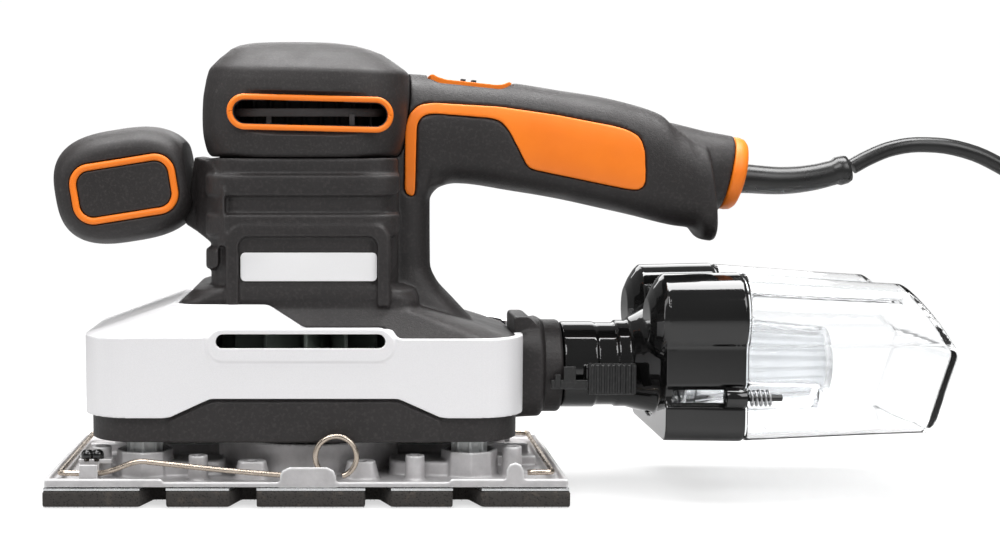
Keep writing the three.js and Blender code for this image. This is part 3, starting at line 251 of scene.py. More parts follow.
def placed(solid, matrix):
    points, faces = solid
    out = [tuple(matrix @ Vector(p)) for p in points]
    if matrix.determinant() < 0:
        faces = [tuple(reversed(f)) for f in faces]
    return out, faces


def across_y(solid):
    return placed(solid, ACROSS)


def with_mirror(solid):
    return [solid, across_y(solid)]


def both_ends(*solids):
    return [s for solid in solids for s in (solid, placed(solid, HALF_TURN))]


def leaning(angle, x, z):
    """A placing at (x, 0, z), turned about Y."""
    return Matrix.Translation((x, 0, z)) @ Matrix.Rotation(angle, 4, "Y")


# ---------------------------------------------------------------- meshes and objects
BEVELLED_ANGLE, SHARP_ANGLE = 32, 40


def mesh_of(solids):
    """One mesh of the solids, in metres, with every solid's faces outwards."""
    bm = bmesh.new()
    for points, faces in solids:
        verts = [bm.verts.new([c * MM for c in p]) for p in points]
        made = [bm.faces.new([verts[i] for i in f]) for f in faces]
        bmesh.ops.recalc_face_normals(bm, faces=made)
    mesh = bpy.data.meshes.new("work")
    bm.to_mesh(mesh)
    bm.free()
    return mesh


def linked(mesh, name):
    obj = bpy.data.objects.new(name, mesh)
    bpy.context.scene.collection.objects.link(obj)
    return obj


def baked(obj):
    """Applies an object's modifiers to its mesh."""
    graph = bpy.context.evaluated_depsgraph_get()
    mesh = bpy.data.meshes.new_from_object(obj.evaluated_get(graph))
    old = obj.data
    obj.modifiers.clear()
    obj.data = mesh
    bpy.data.meshes.remove(old)


def combine(obj, operation, solids):
    """Joins, cuts or intersects the object's mesh with each of the solids."""
    for solid in solids:
        tool = linked(solid if isinstance(solid, bpy.types.Mesh) else mesh_of([solid]), "tool")
        step = obj.modifiers.new("step", "BOOLEAN")
        step.operation = operation
        step.solver = "MANIFOLD"
        step.object = tool
        bpy.context.view_layer.update()
        baked(obj)
        bpy.data.objects.remove(tool)
    return obj


def csg(name, joined, cuts=(), inside=()):
    """An object made of the joined solids, less the cuts, kept inside the last ones."""
    first = joined[0] if isinstance(joined[0], bpy.types.Mesh) else mesh_of(joined[:1])
    obj = linked(first, name)
    combine(obj, "UNION", joined[1:])
    combine(obj, "DIFFERENCE", cuts)
    combine(obj, "INTERSECT", inside)
    return obj


def work_mesh(joined, cuts=(), inside=()):
    """The mesh of a boolean result, for use as a tool."""
    obj = csg("tool", joined, cuts, inside)
    mesh = obj.data
    bpy.data.objects.remove(obj)
    return mesh


def mirrored(mesh):
    copy = mesh.copy()
    copy.transform(ACROSS)
    copy.flip_normals()
    return copy


def smooth(obj):
    obj.data.polygons.foreach_set("use_smooth", [True] * len(obj.data.polygons))
    obj.data.update()
    return obj


def moulded(obj, voxel, passes):
    """Rebuilds the surface on a fine grid and rounds its edges, as moulding and casting do."""
    grid = obj.modifiers.new("grid", "REMESH")
    grid.mode = "VOXEL"
    grid.voxel_size = voxel * MM
    soften = obj.modifiers.new("soften", "SMOOTH")
    soften.factor = 0.5
    soften.iterations = passes
    bpy.context.view_layer.update()
    baked(obj)
    smooth(obj)
    return obj


def crisp(obj, width):
    """Small bevels on hard edges and smooth shading over the rest."""
    weld = obj.modifiers.new("weld", "WELD")
    weld.merge_threshold = 0.01 * MM
    bevel = obj.modifiers.new("bevel", "BEVEL")
    bevel.width = width * MM
    bevel.segments = 2
    bevel.angle_limit = math.radians(BEVELLED_ANGLE)
    bevel.use_clamp_overlap = True
    split = obj.modifiers.new("split", "EDGE_SPLIT")
    split.split_angle = math.radians(SHARP_ANGLE)
    smooth(obj)
    return obj


def dressed(obj, material, body, nodes):
    """Gives a new piece its material, body and replaced CAD nodes."""
    obj.data.materials.clear()
    obj.data.materials.append(material)
    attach(obj, body)
    if nodes:
        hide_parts(*nodes)


def left_and_right(make, name, material, body, node):
    """A piece on the near side, the tool's left, and its mirror image on the right."""
    for hand in ("left", "right"):
        obj = make(f"{name}_{hand}")
        if hand == "right":
            obj.data.transform(ACROSS)
            obj.data.flip_normals()
        dressed(obj, material, body.format(hand), (f"{node}_{hand}",))


# ---------------------------------------------------------------- materials
def grey(value):
    return (value, value, value)


class Shade:
    """A node material built up step by step around one Principled shader."""

    def __init__(self, name):
        self.material = bpy.data.materials.new(name)
        self.material.use_nodes = True
        self.tree = self.material.node_tree
        self.shader = self.tree.nodes["Principled BSDF"]
        self.place = self.tree.nodes.new("ShaderNodeTexCoord").outputs["Object"]

    def node(self, kind, **values):
        made = self.tree.nodes.new("ShaderNode" + kind)
        for key, value in values.items():
            if key in made.inputs:
                made.inputs[key].default_value = value
            else:
                setattr(made, key, value)
        return made

    def link(self, source, target):
        self.tree.links.new(source, target)

    def noise(self, size_mm, detail, roughness=0.5):
        """Noise whose features are about size_mm across."""
        made = self.node("TexNoise", Scale=1000 / size_mm, Detail=detail, Roughness=roughness)
        self.link(self.place, made.inputs["Vector"])
        return made.outputs["Fac"]

    def between(self, source, low, high, at=(0.3, 0.7)):
        made = self.node("MapRange")
        for socket, value in zip(("From Min", "From Max", "To Min", "To Max"), (*at, low, high)):
            made.inputs[socket].default_value = value
        self.link(source, made.inputs["Value"])
        return made.outputs["Result"]

    def mixed(self, factor, a, b):
        """Colour a where the factor is 0 and b where it is 1; each is a colour or a socket."""
        made = self.node("Mix", data_type="RGBA")
        self.link(factor, made.inputs["Factor"])
        for socket, value in ((made.inputs[6], a), (made.inputs[7], b)):
            if isinstance(value, tuple):
                socket.default_value = (*value, 1)
            else:
                self.link(value, socket)
        return made.outputs[2]

    def bump(self, height, distance_mm, strength, under=None):
        made = self.node("Bump", Strength=strength, Distance=distance_mm * MM)
        self.link(height, made.inputs["Height"])
        if under:
            self.link(under, made.inputs["Normal"])
        return made.outputs["Normal"]

    def painted_edge_highlight(self, colour, edge_highlight_colour):
        """Lightens convex edges: a painted edge highlight."""
        sharp = self.node("NewGeometry").outputs["Pointiness"]
        return self.mixed(self.between(sharp, 0, 1, (0.518, 0.56)), colour, edge_highlight_colour)

    def finish(self, colour=None, roughness=None, normal=None, **fixed):
        for socket, source in (("Base Color", colour), ("Roughness", roughness), ("Normal", normal)):
            if source is not None:
                self.link(source, self.shader.inputs[socket])
        for socket, value in fixed.items():
            self.shader.inputs[socket.replace("_", " ")].default_value = value
        return self.material


def grained_plastic(name, dark, light, rough, grain_mm, depth_mm, edge=None):
    """Spark-eroded moulded plastic: fine grain and faint mottling; given an edge tone, also painted glints in
    the grain and painted highlights on convex edges.
    """
    s = Shade(name)
    colour = s.mixed(s.between(s.noise(14, 4), 0, 1), dark, light)
    if edge:
        # painted highlight: lighter speckles stand in for the grain's glints, and convex edges are lightened
        painted_glint = tuple(1.9 * c for c in light)
        colour = s.mixed(s.between(s.noise(grain_mm * 2.2, 2), 0, 0.75, (0.5, 0.72)), colour, painted_glint)
        colour = s.painted_edge_highlight(colour, edge)
    roughness = s.between(s.noise(9, 5), rough - 0.05, rough + 0.06)
    coarse = s.bump(s.noise(grain_mm * 3, 2), depth_mm * 0.8, 0.5)
    return s.finish(colour, roughness, s.bump(s.noise(grain_mm, 3, 0.6), depth_mm, 1.0, coarse))


def gloss_black():
    """Polished moulding with the slight waviness that its sink marks give."""
    s = Shade("gloss_black")
    colour = s.mixed(s.between(s.noise(30, 2), 0, 1), grey(0.004), grey(0.007))
    roughness = s.between(s.noise(6, 6, 0.7), 0.042, 0.096)
    return s.finish(colour, roughness, s.bump(s.noise(22, 1), 0.03, 0.6), Coat_Weight=0.4)


def raw_metal(name, dark, light, rough, grain_mm, depth_mm, edge=None, metallic=1.0):
    """Bare or plated metal: cloudy tone, fine grain, uneven polish."""
    s = Shade(name)
    colour = s.mixed(s.between(s.noise(5, 6, 0.65), 0, 1), dark, light)
    # with an edge tone, convex edges get a painted highlight
    if edge:
        colour = s.painted_edge_highlight(colour, edge)
    roughness = s.between(s.noise(3, 5, 0.6), rough - 0.08, rough + 0.1)
    grain = s.bump(s.noise(grain_mm, 4, 0.6), depth_mm, 0.9)
    return s.finish(colour, roughness, grain, Metallic=metallic)


def silver_paint():
    """Satin metallic paint: fine flakes under a thin clear coat."""
    s = Shade("cover_silver")
    flake = s.noise(0.18, 2, 0.7)
    colour = s.mixed(s.between(flake, 0, 1), (0.78, 0.772, 0.785), (0.87, 0.862, 0.875))
    # painted highlight: convex edges are lightened to near white
    colour = s.painted_edge_highlight(colour, (0.95, 0.95, 0.95))
    roughness = s.between(s.noise(16, 4), 0.3, 0.4)
    normal = s.bump(flake, 0.012, 0.7, s.bump(s.noise(26, 1), 0.05, 0.3))
    return s.finish(colour, roughness, normal, Metallic=0.12, Coat_Weight=0.2)


def foam_rubber():
    """Dark open-cell foam: pores and a dusty face."""
    s = Shade("foam")
    pores = s.node("TexVoronoi", Scale=1000 / 0.9)
    s.link(s.place, pores.inputs["Vector"])
    pit_and_shade = s.between(pores.outputs["Distance"], 0, 1, (0.0, 0.45))
    # painted shade: the pores are coloured darker than the foam round them
    colour = s.mixed(pit_and_shade, (0.010, 0.009, 0.009), (0.042, 0.038, 0.035))
    colour = s.mixed(s.between(s.noise(4, 6, 0.7), 0, 1, (0.55, 0.8)), colour, (0.11, 0.09, 0.075))
    return s.finish(colour, s.between(s.noise(2, 4), 0.85, 1.0), s.bump(pit_and_shade, 0.2, 0.8))


def clear_polycarbonate():
    """Clear moulding with faint flow marks and a trace of fine dust."""
    s = Shade("clear_plastic")
    roughness = s.between(s.noise(18, 5, 0.6), 0.015, 0.07)
    colour = s.mixed(s.between(s.noise(25, 3), 0, 1), (0.985, 0.99, 0.995), (0.96, 0.968, 0.975))
    normal = s.bump(s.noise(16, 1), 0.05, 0.4)
    return s.finish(colour, roughness, normal, Transmission_Weight=1.0, IOR=1.5)


def frosted_plastic():
    """Milky translucent moulding of the filter cage."""
    s = Shade("frosted_plastic")
    colour = s.mixed(s.between(s.noise(12, 3), 0, 1), (0.93, 0.94, 0.95), (0.86, 0.875, 0.89))
    roughness = s.between(s.noise(3, 4), 0.14, 0.24)
    return s.finish(colour, roughness, s.bump(s.noise(0.8, 2), 0.03, 0.6), Transmission_Weight=0.94, IOR=1.2)


# name, dark tone, light tone, roughness, grain size, grain depth, edge tone: the colour of the painted
# highlight on convex edges, which also brings painted glints
HOUSING = grained_plastic(
    "housing_plastic", (0.0125, 0.0105, 0.0105), (0.0175, 0.0148, 0.0148),
    0.52, 0.5, 0.13, (0.034, 0.03, 0.03),
)
SOFT = grained_plastic(
    "soft_touch", (0.0135, 0.0112, 0.0110), (0.0185, 0.0156, 0.0154),
    0.55, 0.4, 0.07, (0.036, 0.032, 0.031),
)
TRIM = grained_plastic("trim_black", grey(0.012), grey(0.017), 0.34, 0.5, 0.015, grey(0.03))
ORANGE = grained_plastic("accent_orange", (0.92, 0.20, 0.006), (0.98, 0.225, 0.008), 0.45, 0.4, 0.03)
CORD_SKIN = grained_plastic("cord_rubber", grey(0.012), grey(0.018), 0.3, 0.8, 0.02)
FAN_GREEN = grained_plastic("fan_plastic", (0.36, 0.42, 0.37), (0.44, 0.5, 0.45), 0.45, 0.6, 0.02)
NYLON = grained_plastic("white_nylon", (0.72, 0.74, 0.74), (0.8, 0.81, 0.81), 0.42, 0.7, 0.03)
CARBON = grained_plastic("carbon", (0.02, 0.02, 0.021), (0.035, 0.035, 0.036), 0.6, 0.5, 0.04)
ALLOY = raw_metal("cast_alloy", (0.46, 0.45, 0.455), (0.58, 0.565, 0.57), 0.5, 0.7, 0.06, grey(0.72), 0.4)
STEEL = raw_metal("bare_steel", (0.42, 0.42, 0.43), (0.55, 0.55, 0.56), 0.3, 0.5, 0.02)
NICKEL = raw_metal("nickel_wire", (0.46, 0.39, 0.32), (0.60, 0.52, 0.44), 0.26, 0.8, 0.003)
COPPER = raw_metal("copper", (0.55, 0.25, 0.12), (0.68, 0.33, 0.17), 0.34, 0.5, 0.03)
PLATED = raw_metal("plated_edge", (0.66, 0.67, 0.68), (0.82, 0.83, 0.84), 0.26, 0.5, 0.02)
GLOSS = gloss_black()
SILVER = silver_paint()
FROSTED = frosted_plastic()
FOAM = foam_rubber()
CLEAR = clear_polycarbonate()


# ---------------------------------------------------------------- cord, sleeve and plug
LEAD_ROUTE = [
    (205.4, 0, 120), (212, 0, 123.6), (221, 0, 127), (233, 0, 128.2), (248, 0, 126), (261, 0, 120.4),
    (275, 0, 111.2), (287, 0, 99), (295, -1, 86), (300, -6, 70), (301, -13, 55), (300, -22, 41),
    (300, -31, 28), (304, -39, 16), (313, -45, 7.7), (325, -47.4, 4),
]
CORD_R, CORD_LENGTH = 3.0, 2950
COIL_X = (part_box("cord_coil")[0].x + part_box("cord_coil")[1].x) / 2 / MM
COIL_RADII, COIL_LAYERS = (40.5, 34.5, 28.5), 4
COIL_TURNS = COIL_LAYERS * len(COIL_RADII)
TURN_POINTS = 24
FIRST_ANGLE = -84  # degrees, where the lead meets the coil
SLEEVE_ROUTE = [(160, 0, 115.8), (166, 0, 115.5), (179, 0, 114.8), (191, 0, 116), (204, 0, 119.3)]


def eased(t):
    t = min(max(t, 0), 1)
    return t * t * (3 - 2 * t)


def winding(turns):
    """Radius and height in the coil after so many turns: out to in, then in to out on the layer above."""
    slots = []
    for layer in range(COIL_LAYERS):
        radii = COIL_RADII if layer % 2 == 0 else COIL_RADII[::-1]
        slots += [(r, CORD_R * (2 * layer + 1)) for r in radii]
    k = min(int(turns), COIL_TURNS - 1)
    (r0, z0), (r1, z1) = slots[k], slots[min(k + 1, COIL_TURNS - 1)]
    f = turns - k
    across, up = eased((f - 0.25) / 0.5), eased((f - 0.7) / 0.3)
    return r0 + (r1 - r0) * across, z0 + (z1 - z0) * up


def around(centre_x, centre_y, r, degrees, z):
    """A point on a circle; its centre is given from the coil's own."""
    a = math.radians(degrees)
    return (COIL_X + centre_x + r * math.cos(a), centre_y + r * math.sin(a), z)


def coil_points():
    """The turns of the coil; the first is wider while it comes down beside them."""
    points = []
    for i in range(COIL_TURNS * TURN_POINTS + 1):
        turns = i / TURN_POINTS
        r, z = winding(turns)
        r += 6.4 * (1 - eased(turns / 0.3))
        points.append(around(0, 0, r, FIRST_ANGLE + 360 * turns, z))
    return points


def plug_end():
    """The last of the cord: up over its own last turn and into the back of the plug."""
    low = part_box("mains_plug")[0]
    top_turn, plug_z = winding(COIL_TURNS)[1], low.z / MM + 6.8
    points = []
    for degrees in (-69, -54, -39, -24, -9, 6, 20, 33.7):
        z = top_turn + (plug_z - top_turn) * eased((degrees - FIRST_ANGLE) / 100)
        points.append(around(0, 0, COIL_RADII[0], degrees, z))
    return points + [around(10.4, 6.93, 28, degrees, plug_z) for degrees in (45, 57, 68)]


def build_cord():
    points = LEAD_ROUTE + coil_points() + plug_end()
    line = bpy.data.curves.new("mains_cord", "CURVE")
    line.dimensions = "3D"
    line.bevel_depth = CORD_R * MM
    line.bevel_resolution = 3
    line.resolution_u = 4
    line.use_fill_caps = True
    path = line.splines.new("BEZIER")
    path.bezier_points.add(len(points) - 1)
    for knot, p in zip(path.bezier_points, points):
        knot.co = [c * MM for c in p]
        knot.handle_left_type = knot.handle_right_type = "AUTO"
    cord = linked(line, "mains_cord")
    dressed(cord, CORD_SKIN, "housing", ("mains_lead", "cord_coil"))


def build_sleeve():
    """Tapered strain relief with a rounded lip where the cord comes out."""
    line = curve_through(SLEEVE_ROUTE, 10)
    root_r, taper, lip, lip_start = 5.8, 1.2, 0.75, 0.9
    shares = [i / (len(line) - 1) for i in range(len(line))]
    radii = [root_r - taper * t + (lip if t > lip_start else 0) for t in shares]
    radii[-1] -= 0.5
    sleeve = linked(mesh_of([tube(line, radii, 28)]), "strain_relief")
    smooth(sleeve)
    dressed(sleeve, CORD_SKIN, "housing", ("cord_sleeve",))


build_cord()
build_sleeve()


# ---------------------------------------------------------------- motor cap
CAP_Z, CAP_WALL, CAP_SLOPE = 123.8, 2.4, 0.025
VENT_X, VENT_Z, VENT_LENGTH, VENT_HEIGHT, VENT_BAND = 2.4, 139.3, 58.9, 12.6, 2.0
CAP_STATIONS = [
    # height, half width, centre x, share of the rearward slope of the crown
    (123.8, 34.4, 0, 0),
    (124.8, 35.6, 0, 0),
    (126.8, 36.5, 0, 0),
    (132.8, 37.7, 0, 0.3),
    (144, 38.2, 0.6, 0.6),
    (151, 37.6, 1.2, 1),
    (154.2, 37.1, 1.6, 1),
    (155.3, 36.5, 1.6, 1),
    (156.2, 35.6, 1.5, 1),
    (159.3, 31.9, 0.6, 0.8),
    (161.4, 29.0, 0, 0.5),
    (163, 26.0, -1.4, 0.3),
    (164.4, 22.0, -2.8, 0.1),
    (165.3, 17, -4, 0),
    (165.8, 11, -4.6, 0),
    (166, 4, -4.6, 0),
]


def cap_envelope(offset):
    """The cap's outside grown by the offset; the slope of its crown rises and fades with height."""
    rings = []
    for z, half, cx, share in spline(CAP_STATIONS[:6], 5) + CAP_STATIONS[6:]:
        reach = half + offset
        ring = super_ring(cx, 0, reach, reach - 0.4, 3.4, 112)
        top_lift = offset * 0.8 * eased((z - 150) / 15)
        rings.append([(x, y, z - share * CAP_SLOPE * (x - cx) + top_lift) for x, y in ring])
    rings[0] = [(x, y, z - offset) for x, y, z in rings[0]]
    return loft(rings)


def vent_outline(grow, ends=0.0):
    half, end = VENT_HEIGHT / 2 + grow, VENT_LENGTH / 2 - VENT_HEIGHT / 2 + ends
    ring = stadium(-end, end, 0, half, 16)
    return [(VENT_X + x, VENT_Z + z - CAP_SLOPE * x) for x, z in ring]


def build_cap():
    mouth = super_ring(0, 0, 32, 31.6, 3.4, 112)
    recess = loft([facing(vent_outline(g, -0.8), y) for g, y in ((2.6, -41), (1.5, -37.9), (1.2, -35.9))])
    opening = side_plate(vent_outline(-VENT_BAND - 0.3), *ALL_ACROSS)
    hollow = [cap_envelope(-CAP_WALL), floor_plate(mouth, CAP_Z - 1, CAP_Z + 4)]
    cap = csg("cap_shell", [cap_envelope(0)], [*hollow, opening, *with_mirror(recess)])
    dressed(moulded(cap, 0.5, 3), SOFT, "housing", ("top_cap",))

    def trim(name):
        return smooth(linked(mesh_of([band(vent_outline(0), VENT_BAND, -37.5, -36.1)]), name))

    left_and_right(trim, "vent_trim", ORANGE, "housing", "vent_ring")


# ---------------------------------------------------------------- motor housing and handle
TUBE_HALF, TUBE_CORNER = 34, 13
TUBE_RIBS = [(110, 117.6, 34.5), (95.4, 103.6, 34.5), (83.4, 91, -30.5)]  # bottom, top, rear end
HANDLE_STATIONS = [
    # x, top, bottom, half width
    (26, 155, 101, 17),
    (40, 154.5, 101, 18.2),
    (45, 154.1, 105, 18.7),
    (47, 153.9, 110.4, 18.8),
    (56, 152.9, 113.8, 19),
    (78, 151, 110.8, 19),
    (93.5, 148.6, 108.2, 18.8),
    (110, 146, 104.6, 18.6),
    (124, 142.6, 101.4, 18.6),
    (132.4, 139.4, 99.2, 18.8),
    (137.8, 134.6, 98, 18.9),
    (142.9, 132.6, 97, 19),
    (146.2, 131.2, 92.8, 19),
    (149.4, 130, 92.2, 19),
]
GRIP_LEAN, GRIP_PIVOT_Z = 0.128, 111
TAIL_STATIONS = [
    # x, top, bottom, half width
    (128, 138, 102, 14.6),
    (138, 136.2, 101, 14.6),
    (150, 133.2, 101.6, 13.8),
    (157.3, 131.4, 103.6, 12.6),
]
GLAND_X, GLAND_Z, GLAND_LEAN = 160.4, 117.3, 0.2
SWITCH_PLACE = leaning(0.105, 61, 150.2)
INLAY = [
    (36.7, 110.4), (36.7, 134), (38.2, 139.5), (42, 142.8), (47, 143.4), (71, 142), (92, 139), (113.4, 134.9),
    (118.2, 133.5), (122.4, 131), (124.2, 126), (124.6, 113.9), (122.6, 111.7), (118.2, 112), (83.4, 119.2),
    (81.4, 120.4), (74.6, 133.4), (71.4, 136.9), (68, 137.9), (47, 139.6), (43, 138.8), (40.9, 135.6),
    (40.4, 109),
]
ARCH_X0, ARCH_X1, ARCH_FOOT, ARCH_TOP, ARCH_RIB = -27.8, 30.9, 73.4, 100.4, 4.5


def handle_ring(x, top, bottom, half, offset, squareness=2.7):
    ring = super_ring(0, (top + bottom) / 2, half + offset, (top - bottom) / 2 + offset, squareness, 96)
    return upright(ring, x)


def handle_envelope(offset):
    """The handle grown by the offset; its rear leans forward and ends in a small round edge."""
    rows = [*spline(HANDLE_STATIONS, 5)]
    x, top, bottom, half = HANDLE_STATIONS[-1]
    rows += [(x + 0.7, top - 0.4, bottom + 0.3, half - 0.3), (x + 1.1, top - 1.3, bottom + 1.1, half - 1.2)]
    rings = []
    for row in rows:
        lean = GRIP_LEAN * eased((row[0] - 137) / 8)
        rings.append([(x - lean * (z - GRIP_PIVOT_Z), y, z) for x, y, z in handle_ring(*row, offset)])
    return loft(rings)


def handle_tail():
    rings = [handle_ring(*s, 0, 2.4) for s in TAIL_STATIONS]
    rings[-1] = [(x + math.tan(GLAND_LEAN) * (z - GLAND_Z), y, z) for x, y, z in rings[-1]]
    return loft(rings)


def square_ring(half, z):
    return level(round_rect(-half, half, -half, half, TUBE_CORNER, 12), z)


def tube_rib(proud, z0, z1, rear_x):
    """A raised rib round the tube that stops in a slanted end behind, short of the handle column."""
    reach = [(-60, z0 - 1), (rear_x - 3, z0 - 1), (rear_x, z0 + 2), (rear_x, z1 + 1), (-60, z1 + 1)]
    half, edge = TUBE_HALF + proud, 0.6
    rows = [(half - edge, z0), (half, z0 + edge), (half, z1 - edge), (half - edge, z1)]
    return work_mesh([loft([square_ring(*row) for row in rows])], inside=[side_plate(reach, *ALL_ACROSS)])


def arch_frame():
    """The raised frame round the plaque; its top corners are round and its feet run into the deck."""
    outer = [(ARCH_X0, ARCH_FOOT - 3), (ARCH_X1, ARCH_FOOT - 3), *rounded_top(0)]
    inner = [(ARCH_X0 + ARCH_RIB, 60), (ARCH_X1 - ARCH_RIB, 60), *rounded_top(ARCH_RIB)]
    face = -TUBE_HALF - 2
    rows = [(outer, 0.0, -30), (outer, 0.0, face + 0.8), (outer, -0.8, face)]
    return work_mesh([loft([facing(grown(o, g), y) for o, g, y in rows])], [side_plate(inner, -60, 0)])


def rounded_top(inset):
    x0, x1, top, r = ARCH_X0 + inset, ARCH_X1 - inset, ARCH_TOP - inset, 6 - inset * 0.4
    corners = [(x1 - r, top - r, 0), (x0 + r, top - r, 1)]
    out = []
    for cx, cz, quarter in corners:
        for i in range(9):
            a = (quarter + i / 8) * math.pi / 2
            out.append((cx + r * math.cos(a), cz + r * math.sin(a)))
    return out


def neck_column():
    stations = [
        # height, rear x, half width
        (56, 70, 30),
        (58.5, 67, 27),
        (62, 63.5, 23.5),
        (70, 56, 19.5),
        (78, 49, 17),
        (84, 46.6, 16.2),
        (108, 46.4, 16),
        (112, 49, 16),
        (114.4, 53, 16),
        (123.4, 53, 15.5),
    ]
    return loft([level(round_rect(16, x1, -y, y, 9, 10), z) for z, x1, y in spline(stations, 4)])


def deck():
    """The sloping roof of the base, from the skirt's outline up to the motor tube."""
    rows = [
        # front x, rear x, half width, corner radius, height
        (-77.4, 77.4, 40.5, 15.9, 56),
        (-77.4, 77.4, 40.5, 15.9, 58.6),
        (-44.6, 41.6, 33.9, 8, 69.7),
        (-44.4, 41.4, 33.7, 8, 72.2),
        (-42.5, 41.5, 34.6, 11, 73.2),
        (-40.5, 40, 34.4, 12, 76.0),
        (-36, 36, 34.2, 13, 77.4),
    ]
    return loft([level(round_rect(x0, x1, -y, y, r, 10), z) for x0, x1, y, r, z in rows])


def knob_bracket():
    """A gusset that widens from the knob to cover the front ends of the ribs."""
    plate = rounded([(-40.3, 124), (-34, 122.4), (-28, 112), (-28, 92.4), (-31.6, 91.6), (-44.2, 99.2)], 1, 3)
    rows = [(-46, 13.5), (-40, 15.5), (-34, 25), (-30, 33), (-27.5, 36.6)]
    wedge = loft([upright(round_rect(-y, y, 80, 130, 2, 4), x) for x, y in rows])
    return work_mesh([side_plate(plate, -40, 40)], inside=[wedge])


def inlay_tool(grow, outer, inner):
    """The insert's outline between two offsets of the handle's surface."""
    outline = grown(rounded(INLAY, 2.5, 4), grow)
    return work_mesh([side_plate(outline, -40, -10)], [handle_envelope(inner)], [handle_envelope(outer)])


def grip_slice(x, width, offset):
    """A thin leaning slice of the grip, for the groove before its rear lip."""
    rings = []
    for xx in (x - width / 2, x + width / 2):
        ring = handle_ring(xx, 131.2, 92.6, 19, offset)
        rings.append([(px - GRIP_LEAN * (pz - GRIP_PIVOT_Z), py, pz) for px, py, pz in ring])
    return loft(rings)


def build_housing():
    recess = inlay_tool(0.35, 6, -1.4)
    arch = arch_frame()
    plaque = side_plate(round_rect(-22.9, 26.5, 79.3, 90.1, 1.9, 5), -40, -TUBE_HALF + 0.5)
    handle = work_mesh([handle_envelope(0)], [cap_envelope(0.3)])
    collar = loft([level(super_ring(0, 0, 31.2, 30.8, 3.4, 96), z) for z in (122, 129)])
    switch_way = placed(block(-15.8, 16, -9.2, 9.2, -1.6, 9), SWITCH_PLACE)
    scoop = [(45.4, 158), (46.4, 152.6), (49, 150.9), (72, 148.5), (75, 149.5), (76.4, 152), (76.4, 158)]
    grip_groove = work_mesh([grip_slice(146.0, 0.55, 1)], [grip_slice(146.0, 2, -0.5)])
    shell = csg(
        "housing_shell",
        [
            loft([square_ring(TUBE_HALF, 72), square_ring(TUBE_HALF, 123.4)]),
            collar,
            deck(),
            neck_column(),
            knob_bracket(),
            handle_tail(),
            handle,
            *[tube_rib(1.7, *heights) for heights in TUBE_RIBS],
            arch,
            mirrored(arch),
        ],
        [
            recess,
            mirrored(recess),
            *with_mirror(plaque),
            switch_way,
            side_plate(rounded(scoop, 1, 3), -30, 30),
            grip_groove,
            rod(150, 175, 0, 116.2, 5.6),
            block(-31, 29, -60, 60, 50, 62.8),
        ],
    )
    dressed(moulded(shell, 0.62, 3), HOUSING, "housing", ("housing_left", "housing_right"))

    def insert(name):
        return moulded(linked(inlay_tool(0, 0.3, -1.2), name), 0.4, 3)

    left_and_right(insert, "grip_insert", ORANGE, "housing", "grip_inlay")


# ---------------------------------------------------------------- knob
KNOB_PLACE = leaning(-math.radians(9), -67.2, 113)
KNOB_REAR_X, KNOB_HALF = 24.6, 24.7
KNOB_STATIONS = [
    # across, middle, half length, half height
    (-24.7, 1.8, 10, 5),
    (-24.6, 1.7, 16, 10),
    (-24.4, 1.6, 18.8, 13),
    (-23.8, 1.5, 20.8, 15.2),
    (-22.4, 1.4, 22.6, 16.9),
    (-19.6, 1.3, 24.4, 18.7),
    (-15, 1.1, 25.5, 20),
    (-8, 0.5, 26.4, 20.9),
    (0, 0, 27.1, 21.2),
]
KNOB_RING = [(x + 1.8, z - 1.1) for x, z in round_rect(-19.3, 19.3, -11, 11, 7.5, 14)]
KNOB_BAND = 2.4


def knob_envelope(offset):
    near = spline(KNOB_STATIONS, 5)
    rows = near + [(-y, *rest) for y, *rest in reversed(near[:-1])]
    rings = []
    for y, middle, length, height in rows:
        ring = super_ring(middle, 0, length + offset, height + offset, 2.8, 112)
        rings.append(facing(ring, y * (1 + offset / KNOB_HALF)))
    return loft(rings)


def build_knob():
    inner_ring = grown(KNOB_RING, -KNOB_BAND - 0.4)
    groove = work_mesh([side_plate(grown(KNOB_RING, 0.45), -30, -23.2)], [side_plate(inner_ring, -31, -20)])
    seam = work_mesh([block(-40, 40, -0.25, 0.25, -30, 30)], [knob_envelope(-0.9)])
    panel = side_plate(grown(inner_ring, -0.3), -30, -24.35)
    knob = csg("knob_shell", [knob_envelope(0)], [groove, mirrored(groove), seam, *with_mirror(panel)])
    combine(knob, "INTERSECT", [block(-60, KNOB_REAR_X, *ALL_ACROSS, -60, 60)])
    knob.data.transform(scaled(KNOB_PLACE))
    dressed(moulded(knob, 0.45, 3), SOFT, "housing", ("knob_left", "knob_right"))

    def trim(name):
        return smooth(linked(mesh_of([placed(band(KNOB_RING, KNOB_BAND, -24.9, -23), KNOB_PLACE)]), name))

    left_and_right(trim, "knob_trim", ORANGE, "housing", "knob_ring")


def scaled(matrix):
    """The same placing with its move in metres."""
    out = matrix.copy()
    out.translation = matrix.translation * MM
    return out


# ---------------------------------------------------------------- side cover, skirt and outlet collar
COVER_X, COVER_Y, COVER_R, COVER_WALL = 79.5, 42.6, 18, 1.8
SLOT_X0, SLOT_X1, SLOT_HALF, SLOT_Z = -31, 29, 2.7, 58.8
COVER_SIDE = [
    (-90, 31.5), (-48, 31.5), (-33, 38.4), (33.6, 38.4), (49, 31.5), (90, 31.5),
    (90, 59.8), (33.4, 59.8), (31.6, 63), (0.4, 63.4), (-12.8, 71.4), (-90, 71.4),
]
SKIRT_Z, SKIRT_X, SKIRT_Y, SKIRT_R = 22.4, 77.2, 40.5, 16.5
LEGS, LEG_WELL_R = [(x, y) for x in (-59, 59) for y in (-28, 28)], 8.8


